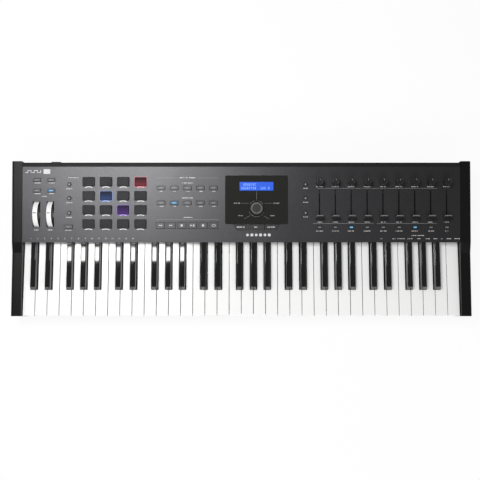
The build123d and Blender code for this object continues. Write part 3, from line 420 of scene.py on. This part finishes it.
def rounded(x, v, size, radius, steps=4):
    """Corners (x, v) of a rounded rectangle."""
    points = []
    for quarter in range(4):
        sign_x, sign_v = ((1, 1), (-1, 1), (-1, -1), (1, -1))[quarter]
        centre = (x + sign_x * (size[0] / 2 - radius), v + sign_v * (size[1] / 2 - radius))
        for step in range(steps + 1):
            angle = math.radians(90 * (quarter + step / steps))
            across, up = radius * math.cos(angle), radius * math.sin(angle)
            points.append((centre[0] + across, centre[1] + up))
    return points


def join_rows(mesh, rows):
    """Faces between closed rows of as many corners each, and from the last row to the first."""
    count = len(rows[0])
    for row, following in zip(rows, rows[1:] + rows[:1]):
        for i in range(count):
            mesh.faces.new((row[i], row[(i + 1) % count], following[(i + 1) % count], following[i]))


def frame_ring(mesh, outer, inner, w, thick):
    """A flat ring between two outlines with the same number of corners."""
    rows = []
    for points, height in ((outer, w), (outer, w + thick), (inner, w + thick), (inner, w)):
        rows.append([mesh.verts.new(PANEL @ Vector((x, v, height))) for x, v in points])
    join_rows(mesh, rows)


# ---------------------------------------------------------------- printing
INK_THICK = 0.05
CAPTION_HEIGHT = 1.5


def caption(mesh, dice, x, v, width, height=CAPTION_HEIGHT, w=0.0):
    """A line of small plain blocks of uneven widths, standing for printed words."""
    left = x - width / 2
    while left < x + width / 2 - 0.6:
        wide = min(dice.choice((0.7, 0.9, 1.1)), x + width / 2 - left)
        tall = height * dice.choice((0.75, 1.0, 1.0, 0.85))
        if dice.random() > 0.12:
            tile(mesh, left + wide / 2, v, w, (wide, tall, INK_THICK))
        left += wide + 0.35


def rule(mesh, start, end, v, thick=0.45, w=0.0):
    tile(mesh, (start + end) / 2, v, w, (end - start, thick, INK_THICK))


def print_strip_section(mesh, dice):
    """The names and lines round the knobs, faders and select buttons."""
    for x in STRIPS:
        caption(mesh, dice, x, KNOB_V - 9.0, 13.0)
        caption(mesh, dice, x, FADER_V - 8.6, 10.5)
        caption(mesh, dice, x, SELECT_V - 7.3, 13.0 if x != STRIPS[-1] else 6.0)
    for x, width in ((270.0, 5.0), (294.0, 7.0), (309.0, 15.0), (326.0, 10.0), (344.0, 8.0),
                     (360.0, 8.0), (375.0, 8.0), (387.0, 2.5), (401.0, 9.0), (417.0, 11.0)):
        caption(mesh, dice, x, 7.0, width)
    caption(mesh, dice, 341.0, 13.3, 24.0)


def print_button_sections(mesh, dice):
    for row, v in enumerate(COMMAND_V):
        caption(mesh, dice, COMMAND_X[2] + 1, v + 9.6, 22.0, 1.8)
        for x in COMMAND_X:
            caption(mesh, dice, x + 1, v - 6.6, 7.0)
    caption(mesh, dice, COMMAND_X[2] + 1, 125.0, 31.0, 2.2)
    caption(mesh, dice, COMMAND_X[2] + 2, TRANSPORT_V + 15.6, 17.0)
    for x in OCTAVE_X:
        for v in OCTAVE_V:
            caption(mesh, dice, x + 1, v - 5.8, 11.0)
    caption(mesh, dice, sum(OCTAVE_X) / 2, OCTAVE_V[1] - 11.2, 10.0)
    for node in WHEEL_NODES:
        caption(mesh, dice, 1000 * middle(node).x, 24.0, 8.5)
    for v in ROUND_V:
        caption(mesh, dice, ROUND_X[0], v - 8.6, 12.0)
        caption(mesh, dice, ROUND_X[1], v - 7.6, 9.0)
    caption(mesh, dice, SHIFT[0], SHIFT[1] - 6.8, 12.0)
    caption(mesh, dice, ROUND_X[0] + 8, 125.0, 20.0, 1.3)


def print_rules(mesh):
    """The fine lines that group the controls."""
    rule(mesh, STRIPS[0] - 4, STRIPS[7] + 13, KNOB_V - 12.2)
    rule(mesh, STRIPS[0] - 13, STRIPS[3] + 13, SELECT_V + 7.3)
    rule(mesh, STRIPS[4] - 12, STRIPS[7] + 12, SELECT_V + 7.3)
    left, right = COMMAND_X[0] - 9, COMMAND_X[4] + 10
    rule(mesh, left, COMMAND_X[2] - 18, 124.6, 0.35)
    rule(mesh, COMMAND_X[2] + 20, right, 124.6, 0.35)
    rule(mesh, left, right, TRANSPORT_V + 11.6, 0.35)


def print_marks(mesh):
    """A plain wave sign and a row of squares where a maker would put a name."""
    left, v = -417.0, 137.0
    for step in range(5):
        x = left + 6.2 * step
        tile(mesh, x + 1.6, v + (2.0 if step % 2 else -2.0), 0.0, (4.4, 1.1, INK_THICK))
        tile(mesh, x + 4.2, v, 0.0, (1.1, 5.0, INK_THICK))
    slab(mesh, rounded(left + 41.0, v, (13.0, 9.0), 1.2), 0.0, INK_THICK)
    for step in range(6):
        corner = 1.0 if step % 2 else 2.5
        slab(mesh, rounded(12.0 + 8.4 * step, 14.3, (5.2, 5.2), corner), 0.0, INK_THICK)


def numbers():
    """Channel numbers 1 to 16 along the panel's front edge."""
    first, pitch = -406.0, 13.1
    joined = bmesh.new()
    for number in range(1, 17):
        curve = bpy.data.curves.new(f"number_{number}", "FONT")
        curve.body = str(number)
        curve.size = 4.2
        curve.align_x = "CENTER"
        curve.extrude = INK_THICK / 2
        writing = bpy.data.objects.new(curve.name, curve)
        bpy.context.scene.collection.objects.link(writing)
        bpy.context.view_layer.update()
        shaped = writing.evaluated_get(bpy.context.evaluated_depsgraph_get())
        flat = bpy.data.meshes.new_from_object(shaped)
        x = first + pitch * (number - 1)
        flat.transform(PANEL @ Matrix.Translation((x, 6.0, INK_THICK / 2)))
        joined.from_mesh(flat)
        bpy.data.objects.remove(writing)
        bpy.data.meshes.remove(flat)
    bmesh.ops.remove_doubles(joined, verts=joined.verts, dist=1e-6)
    add_piece("channel_numbers", joined, "case", PRINT)


def panel_printing():
    dice = random.Random(7)
    bright = bmesh.new()
    print_marks(bright)
    add_piece("panel_marks", bright, "case", PRINT)
    fine = bmesh.new()
    print_strip_section(fine, dice)
    print_button_sections(fine, dice)
    add_piece("panel_captions", fine, "case", PRINT)
    lines = bmesh.new()
    print_rules(lines)
    add_piece("panel_rules", lines, "case", PRINT_DIM)
    numbers()


# ---------------------------------------------------------------- screen and encoder plate


SCREEN_MARGIN = 4.5
SCREEN_SINK = 0.4
SCREEN_ROW = 3.4
CELL_PITCH = 3.7
CELL_WIDTH = 2.6


def screen_segments():
    """Two lines of plain blocks on the screen."""
    dice = random.Random(3)
    mesh = bmesh.new()
    left = SCREEN[0] - SCREEN_SIZE[0] / 2 + SCREEN_MARGIN
    face = BEZEL_FACE - SCREEN_SINK
    upper, lower = range(1, 8), (0, 1, 2, 3, 4, 5, 6, 7, 10, 11, 12, 14)
    for v, cells in ((SCREEN[1] + SCREEN_ROW, upper), (SCREEN[1] - SCREEN_ROW, lower)):
        for cell in cells:
            x = left + CELL_PITCH * cell
            for line in range(4):
                wide = dice.choice((1.2, 2.0, CELL_WIDTH))
                shift = (CELL_WIDTH - wide) / 2 * dice.choice((-1, 0, 1))
                tile(mesh, x + shift, v + 1.8 - 1.25 * line, face, (wide, 0.8, 0.06))
    add_piece("screen_segments", mesh, "case", SCREEN_TEXT)


RING_RADIUS = 15.5


def encoder_plate():
    """Ring arcs, leader lines and four captions printed on the gloss plate."""
    dice = random.Random(5)
    mesh = bmesh.new()
    x, v = ENCODER.x, ENCODER.y
    top = BEZEL_FACE
    line_start = v + RING_RADIUS
    line_end = SCREEN[1] - SCREEN_SIZE[1] / 2 - 2
    tile(mesh, x, (line_start + line_end) / 2, top, (0.4, line_end - line_start, INK_THICK))
    for start, end in ((35, 80), (100, 145), (200, 340)):
        for step in range(start, end, 5):
            angle = math.radians(step + 2.5)
            across, up = x + RING_RADIUS * math.cos(angle), v + RING_RADIUS * math.sin(angle)
            tile(mesh, across, up, top, (0.35, 1.5, INK_THICK), angle)
    for side in (-1, 1):
        caption(mesh, dice, x + side * 37.5, v + 10.5, 12.5, 2.4, top)
        rule(mesh, *sorted((x + side * RING_RADIUS, x + side * 30.0)), v + 10.5, 0.3, top)
        caption(mesh, dice, x + side * 31.0, v - 13.5, 9.0, 1.8, top)
        tile(mesh, x + side * 18.5, v - 16.8, top, (12.0, 0.3, INK_THICK), -side * 0.55)
    add_piece("encoder_plate_printing", mesh, "case", PRINT_DIM)


FLUTE_DEPTH = 0.45


def fluted_knob(name, body, node, place, radius, top_radius, foot, height, flutes, materials):
    """A knob with a fluted side, a dished top and softened edges, standing for the plain one."""
    mesh = bmesh.new()
    made = bmesh.ops.create_circle(mesh, cap_ends=True, segments=flutes * 4, radius=radius)
    for number, vert in enumerate(made["verts"]):
        if number % 4 in (0, 1):
            vert.co *= 1 - FLUTE_DEPTH / radius
    base = mesh.faces[:]
    shrink = top_radius / radius
    raised = bmesh.ops.extrude_face_region(mesh, geom=base)["geom"]
    top = next(item for item in raised if isinstance(item, bmesh.types.BMFace))
    bmesh.ops.translate(mesh, verts=top.verts, vec=(0, 0, height))
    bmesh.ops.scale(mesh, verts=top.verts, vec=(shrink, shrink, 1))
    for inset, drop in ((0.5, 0.45), (0.9, 0.1), (0.5, -0.35), (1.2, -0.15)):
        bmesh.ops.inset_region(mesh, faces=[top], thickness=inset, depth=0)
        bmesh.ops.translate(mesh, verts=top.verts, vec=(0, 0, drop))
    for face in mesh.faces:
        height_at = face.calc_center_median().z
        face.material_index = 1 if height_at > height + 0.02 and face.normal.z > 0.5 else 0
        face.smooth = False
    bmesh.ops.transform(mesh, verts=mesh.verts, matrix=PANEL @ Matrix.Translation((*place, foot)))
    piece = add_piece(name, mesh, body, materials)
    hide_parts(node)


# Radius, radius at the top, foot, height and flutes.
KNOB_SHAPE = (7.7, 6.9, 0.8, 13.3, 20)
ENCODER_SHAPE = (12.2, 11.6, 2.0, 12.9, 36)


def knobs():
    for number, x in enumerate(STRIPS, 1):
        node = f"knob_{number}"
        # Each knob's top faces take the lighter material, a painted sheen.
        fluted_knob(f"knob_cap_{number}", node, node, (x, KNOB_V), *KNOB_SHAPE, [KNOB, KNOB_TOP_PAINTED_SHEEN])
        mark = bmesh.new()
        tile(mark, x, KNOB_V + 3.6, 14.2, (0.7, 3.6, 0.12))
        add_piece(f"knob_mark_{number}", mark, f"knob_{number}", PRINT_DIM)
    fluted_knob(
        "encoder_cap", "encoder_knob", "main_encoder_knob", (ENCODER.x, ENCODER.y),
        *ENCODER_SHAPE, [KNOB, ENCODER_CAP]
    )


def fader_trim():
    """A white line and finger ridges on every fader cap."""
    for number, x in enumerate(STRIPS, 1):
        line = bmesh.new()
        tile(line, x, FADER_V + 3.75, 10.55, (12.6, 0.9, 0.12))
        add_piece(f"fader_line_{number}", line, f"fader_{number}", PRINT_DIM)
        ridges = bmesh.new()
        for step in range(4):
            w = 8.95 + 0.25 * abs(step - 1.5)
            tile(ridges, x, FADER_V - 2.1 + 1.4 * step, w, (12.6, 0.5, 0.5))
        add_piece(f"fader_ridges_{number}", ridges, f"fader_{number}", KNOB)


# ---------------------------------------------------------------- pads, buttons and wheels


SKIN_MARGIN = 2.6


def light_skin(tag, body, x, v, colour):
    """A thin skin on a lit pad, whose light fades from its front edge to its rear."""
    front, rear = (PANEL @ Vector((x, v + side * PAD_SIZE[1] / 2, PAD_PROUD)) for side in (-1, 1))
    material = glowing(f"pad_skin_{tag}", colour, 1.0, (0.008, 0.008, 0.009, 1), 0.58)
    tree, shader = material.node_tree, material.node_tree.nodes["Principled BSDF"]
    shader.inputs["Specular IOR Level"].default_value = 0.12
    coordinates = tree.nodes.new("ShaderNodeTexCoord")
    split = tree.nodes.new("ShaderNodeSeparateXYZ")
    tree.links.new(coordinates.outputs["Object"], split.inputs[0])
    fade = tree.nodes.new("ShaderNodeMapRange")
    fade.inputs["From Min"].default_value = front.y
    fade.inputs["From Max"].default_value = rear.y
    fade.inputs["To Min"].default_value = 0.2
    fade.inputs["To Max"].default_value = 0.005
    tree.links.new(split.outputs[1], fade.inputs["Value"])
    tree.links.new(fade.outputs[0], shader.inputs["Emission Strength"])
    skin = bmesh.new()
    slab(skin, rounded(x, v, [side - SKIN_MARGIN for side in PAD_SIZE], 1.2), PAD_PROUD, 0.06)
    add_piece(f"pad_skin_{tag}", skin, body, material)


WINDOW_SIZE = (14.0, 1.25)
WINDOW_RISE = 1.3
WINDOW_GAP = 2.9
GASKET_OUTER = 2.6
GASKET_INNER = 0.8


def window_outline(x, front, steps=8):
    """Corners of a low arch, its ends at the front line."""
    width, deep = WINDOW_SIZE
    places = [-width / 2 + width * i / steps for i in range(steps + 1)]
    arch = [(x + p, front + WINDOW_RISE * (1 - (2 * p / width) ** 2)) for p in places]
    return arch + [(px, pv + deep) for px, pv in reversed(arch)]


def pad_windows():
    """A light gasket round every pad and a curved light window in front of it."""
    for row, v in enumerate(PAD_V):
        for column, x in enumerate(PAD_X):
            tag = f"{row + 1}_{column + 1}"
            colour = PAD_LIGHTS.get((row, column))
            window = bmesh.new()
            slab(window, window_outline(x, v - PAD_SIZE[1] / 2 - WINDOW_GAP), 0.0, 0.35)
            ring = bmesh.new()
            outer = rounded(x, v, [side + GASKET_OUTER for side in PAD_SIZE], 2.6)
            inner = rounded(x, v, [side + GASKET_INNER for side in PAD_SIZE], 2.2)
            frame_ring(ring, outer, inner, 0.0, 0.3)
            lit, bright = WINDOW_DARK, WINDOW_WHITE
            if colour:
                lit = glowing(f"pad_glow_{tag}", colour, 0.5, (0.05, 0.05, 0.05, 1))
                pale = tuple(0.15 + 0.85 * c for c in colour[:3]) + (1,)
                bright = glowing(f"pad_window_{tag}", pale, 1.15, (0.1, 0.1, 0.1, 1))
                light_skin(tag, "rear_drum_pads" if row < 2 else "front_drum_pads", x, v, colour)
            add_piece(f"pad_window_{tag}", window, "case", bright)
            add_piece(f"pad_gasket_{tag}", ring, "case", lit)


def button_face(name, body, x, v, size, lit=False):
    """A thin inset window on top of a button with its small sign."""
    window = bmesh.new()
    slab(window, rounded(x, v, (size[0] - 2.4, size[1] - 2.4), 0.9), BUTTON_PROUD, 0.08)
    add_piece(f"{name}_window", window, body, BUTTON_BLUE if lit else LENS)
    sign = bmesh.new()
    for side in (-1, 0, 1):
        tile(sign, x + side * 2.0, v, BUTTON_PROUD + 0.08, (1.3, 1.5, 0.05))
    add_piece(f"{name}_sign", sign, body, BUTTON_PALE if lit else PRINT_DIM)


def play_icon(mesh, x, v, turn, size=3.4):
    """A triangle pointing along x when turn is 1, or back when it is -1."""
    back, tip = x - turn * size / 2, x + turn * size / 2
    points = [(back, v - size / 2), (tip, v), (back, v + size / 2)]
    slab(mesh, points if turn > 0 else points[::-1], BUTTON_PROUD + 0.02, 0.06)


def transport_icons():
    """Rewind, forward, stop, play with pause, record and repeat."""
    mesh = bmesh.new()
    v, w = TRANSPORT_V, BUTTON_PROUD
    back, ahead, stop, play, record, again = TRANSPORT_X
    play_icon(mesh, back - 1.6, v, -1, 3.0)
    play_icon(mesh, back + 1.6, v, -1, 3.0)
    play_icon(mesh, ahead - 1.6, v, 1, 3.0)
    play_icon(mesh, ahead + 1.6, v, 1, 3.0)
    tile(mesh, stop, v, w, (3.8, 3.8, 0.08))
    play_icon(mesh, play - 2.2, v, 1, 3.6)
    tile(mesh, play + 1.6, v, w, (1.1, 3.6, 0.08))
    tile(mesh, play + 3.4, v, w, (1.1, 3.6, 0.08))
    disc(mesh, record, v, w, 2.2, 0.08)
    outer, inner = rounded(again, v, (7.0, 4.0), 1.9), rounded(again, v, (5.8, 2.8), 1.3)
    frame_ring(mesh, outer, inner, w, 0.08)
    play_icon(mesh, again + 1.0, v + 1.7, 1, 2.0)
    add_piece("transport_icons", mesh, "transport_buttons", PRINT)
    plates = bmesh.new()
    for x in TRANSPORT_X:
        size = (TRANSPORT_SIZE[0] - 2.2, TRANSPORT_SIZE[1] - 2.2)
        slab(plates, rounded(x, v, size, 1.0), w - 0.06, 0.07)
    add_piece("transport_faces", plates, "transport_buttons", LENS)


LIT_OCTAVE = (1, 1)
LIT_COMMAND = (1, 1)
LIT_SELECT = (2, 6)


def buttons():
    for row, v in enumerate(OCTAVE_V):
        for column, x in enumerate(OCTAVE_X):
            name, lit = f"octave_{row}_{column}", (row, column) == LIT_OCTAVE
            button_face(name, "left_buttons", x, v, OCTAVE_SIZE, lit=lit)
    button_face("shift", "left_buttons", *SHIFT, SHIFT_SIZE)
    for row, v in enumerate(COMMAND_V):
        for column, x in enumerate(COMMAND_X):
            name, lit = f"command_{row}_{column}", (row, column) == LIT_COMMAND
            button_face(name, "command_buttons", x, v, COMMAND_SIZE, lit=lit)
    for column, x in enumerate(STRIPS):
        name, lit = f"select_{column}", column in LIT_SELECT
        button_face(name, "select_buttons", x, SELECT_V, SELECT_SIZE, lit=lit)
    for side, (x, body) in enumerate(zip(ROUND_X, ("left_buttons", "bank_buttons"))):
        for row, v in enumerate(ROUND_V):
            dot = bmesh.new()
            disc(dot, x, v, BUTTON_PROUD, 1.5, 0.08)
            add_piece(f"round_{side}_{row}_sign", dot, body, PRINT_DIM)
    mode = bmesh.new()
    dice = random.Random(11)
    for x, width in ((-1.2, 15.0), (29.4, 9.0), (57.6, 14.0)):
        caption(mode, dice, x, 29.4, width, 2.2, BUTTON_PROUD)
    add_piece("mode_captions", mode, "mode_buttons", PRINT)
    transport_icons()


WHEEL_MARK_TURN = -4.0
WHEEL_MARK_RADIUS = 27.65
WHEEL_MARK_SIZE = (6.6, 1.0, 0.2)


def wheel_marks():
    """A grey line across the top of each wheel: painted shade standing for a groove."""
    for node in WHEEL_NODES:
        joint = JOINTS[f"{node}_turn"]
        hub = on_panel(joint["pos_m"])
        mesh = bmesh.new()
        for step in (-0.5, 0.5):
            angle = math.radians(WHEEL_MARK_TURN + 2.2 * step)
            place = PANEL @ Matrix.Translation(hub) @ Matrix.Rotation(angle, 4, "X")
            place = place @ Matrix.Translation((0, 0, WHEEL_MARK_RADIUS))
            place = place @ Matrix.Diagonal((*WHEEL_MARK_SIZE, 1))
            bmesh.ops.create_cube(mesh, size=1.0, matrix=place)
        add_piece(f"{node}_mark", mesh, node, LENS)


# ---------------------------------------------------------------- rear


def ring_behind(mesh, x, z, inner, outer, start, end, sides=32):
    """A ring standing out of the rear wall, turned about Y, between two depths in metres."""
    edge = 0.3 * MM
    profile = [
        (inner, start), (outer, start), (outer, end - edge), (outer - edge, end), (inner, end)
    ]
    verts = [mesh.verts.new((x + r, y, z)) for r, y in profile]
    edges = [mesh.edges.new((a, b)) for a, b in zip(verts, verts[1:] + verts[:1])]
    bmesh.ops.spin(
        mesh, geom=verts + edges, cent=(x, 0, z), axis=(0, 1, 0), angle=math.tau, steps=sides,
        use_merge=True
    )
    bmesh.ops.remove_doubles(mesh, verts=mesh.verts, dist=1e-6)


def wall_caption(mesh, dice, x, y, z, width, height=1.6 * MM):
    """A line of small plain blocks on the rear wall, standing for printed words."""
    left = x - width / 2
    while left < x + width / 2 - 0.6 * MM:
        wide = dice.choice((0.8, 1.0, 1.3)) * MM
        place = Matrix.Translation((left + wide / 2, y, z))
        place = place @ Matrix.Diagonal((wide, 0.1 * MM, height, 1))
        bmesh.ops.create_cube(mesh, size=1.0, matrix=place)
        left += wide + 0.4 * MM


def square_tube(mesh, x, z, outer, wall, start, end):
    """A square tube along Y, between two depths, all in metres."""
    rows = []
    inside = outer / 2 - wall
    for half, y in ((outer / 2, start), (outer / 2, end), (inside, end), (inside, start)):
        corners = ((1, 1), (-1, 1), (-1, -1), (1, -1))
        rows.append([mesh.verts.new((x + a * half, y, z + b * half)) for a, b in corners])
    join_rows(mesh, rows)


ROUND_SOCKET_X = -128.0 * MM


def rear_trim():
    """Rings round the pedal sockets, metal shells in the other two and captions above each."""
    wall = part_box("rear_housing")[1][1] - 0.6 * MM
    places = [Vector(m["pos_m"]) for m in frame["record"]["mounts"] if m["kind"] == "bore"]
    mesh = bmesh.new()
    for place in places:
        ring_behind(mesh, place.x, place.z, 3.4 * MM, 6.6 * MM, wall, wall + 1.0 * MM)
    add_piece("jack_rings", mesh, "case", NICKEL)
    shells = bmesh.new()
    level = places[0].z
    ring_behind(shells, ROUND_SOCKET_X, level, 7.1 * MM, 7.7 * MM, wall - 6.0 * MM, wall + 0.3 * MM)
    low, high = frame["record"]["physics"]["openings"][0]["box_m"]
    port_x, port_z = (low[0] + high[0]) / 2, (low[2] + high[2]) / 2
    square_tube(shells, port_x, port_z, 7.7 * MM, 0.4 * MM, wall - 9.0 * MM, wall + 0.3 * MM)
    add_piece("socket_shells", shells, "case", NICKEL)
    words = bmesh.new()
    dice = random.Random(13)
    for x, width in (
        (places[0].x, 17.0), (places[1].x, 20.0), (ROUND_SOCKET_X, 11.0), (port_x, 8.0)
    ):
        wall_caption(words, dice, x, wall + 0.6 * MM, level + 13.0 * MM, width * MM)
    add_piece("rear_captions", words, "case", PRINT)


# ---------------------------------------------------------------- stage


FLOOR_HALF = 30.0
SEEN_WHITE = 0.9


def studio():
    """A white floor, seen nearly as bright as the room round it."""
    floor = bpy.data.meshes.new("studio_floor")
    mesh = bmesh.new()
    bmesh.ops.create_grid(mesh, x_segments=1, y_segments=1, size=FLOOR_HALF)
    mesh.to_mesh(floor)
    mesh.free()
    ground = bpy.data.objects.new("studio_floor", floor)
    bpy.context.scene.collection.objects.link(ground)
    material = bpy.data.materials.new("floor_white")
    material.use_nodes = True
    tree = material.node_tree
    tree.nodes.clear()
    surface = tree.nodes.new("ShaderNodeBsdfDiffuse")
    surface.inputs["Color"].default_value = (0.8, 0.8, 0.8, 1)
    white = tree.nodes.new("ShaderNodeEmission")
    path = tree.nodes.new("ShaderNodeLightPath")
    share = math_node(tree, "MULTIPLY", path.outputs["Is Camera Ray"], SEEN_WHITE)
    mix = tree.nodes.new("ShaderNodeMixShader")
    tree.links.new(share, mix.inputs[0])
    tree.links.new(surface.outputs[0], mix.inputs[1])
    tree.links.new(white.outputs[0], mix.inputs[2])
    out = tree.nodes.new("ShaderNodeOutputMaterial")
    tree.links.new(mix.outputs[0], out.inputs["Surface"])
    floor.materials.append(material)


def soft_light(name, place, target, size, power):
    data = bpy.data.lights.new(name, "AREA")
    data.shape = "RECTANGLE"
    data.size, data.size_y = size
    data.energy = power
    lamp = bpy.data.objects.new(name, data)
    lamp.location = place
    lamp.rotation_euler = (Vector(target) - Vector(place)).to_track_quat("-Z", "Y").to_euler()
    bpy.context.scene.collection.objects.link(lamp)


ROOM_LEVEL = 0.42
MIRRORED_LEVEL = 0.17
# Name, place, target, sides and watts.
LAMPS = (
    ("upper_left_strip", (-0.47, 0.081, 1.37), (-0.47, 0.081, 0.0), (0.52, 0.054), 2.1),
    ("upper_left_box", (-0.47, 0.39, 1.37), (-0.47, 0.39, 0.0), (0.56, 0.53), 13.6),
    ("front_box", (0.25, -1.5, 1.3), (0.0, 0.0, 0.0), (1.6, 0.8), 19.0),
)


def lighting():
    """A dim white room that looks white, two lights over the left end and one in front."""
    world = bpy.data.worlds.new("studio")
    world.use_nodes = True
    bpy.context.scene.world = world
    tree = world.node_tree
    background = tree.nodes["Background"]
    path = tree.nodes.new("ShaderNodeLightPath")
    seen = math_node(tree, "MULTIPLY", path.outputs["Is Camera Ray"], 1.0 - ROOM_LEVEL)
    glossy = path.outputs["Is Glossy Ray"]
    mirrored = math_node(tree, "MULTIPLY", glossy, ROOM_LEVEL - MIRRORED_LEVEL)
    level = math_node(tree, "SUBTRACT", math_node(tree, "ADD", seen, ROOM_LEVEL), mirrored)
    background.inputs["Color"].default_value = (1, 1, 1, 1)
    tree.links.new(level, background.inputs["Strength"])
    for name, place, target, size, power in LAMPS:
        soft_light(name, place, target, size, power)


CAMERA_PLACE = (0.0, -0.1373, 1.3388)
CAMERA_TILT = 6.0
CAMERA_SHIFT = -0.0027083


def camera():
    """Nearly straight above, tilted a little toward the rear."""
    data = bpy.data.cameras.new("camera")
    data.lens = 50.0
    data.sensor_width = 36.0
    data.shift_x = CAMERA_SHIFT
    view = bpy.data.objects.new("camera", data)
    view.location = CAMERA_PLACE
    view.rotation_euler = (math.radians(CAMERA_TILT), 0.0, 0.0)
    bpy.context.scene.collection.objects.link(view)
    bpy.context.scene.camera = view
    bpy.context.scene.view_settings.view_transform = "Standard"


# ---------------------------------------------------------------- build
dress_nodes()
panel_printing()
screen_segments()
encoder_plate()
knobs()
fader_trim()
pad_windows()
buttons()
wheel_marks()
rear_trim()
studio()
lighting()
camera()
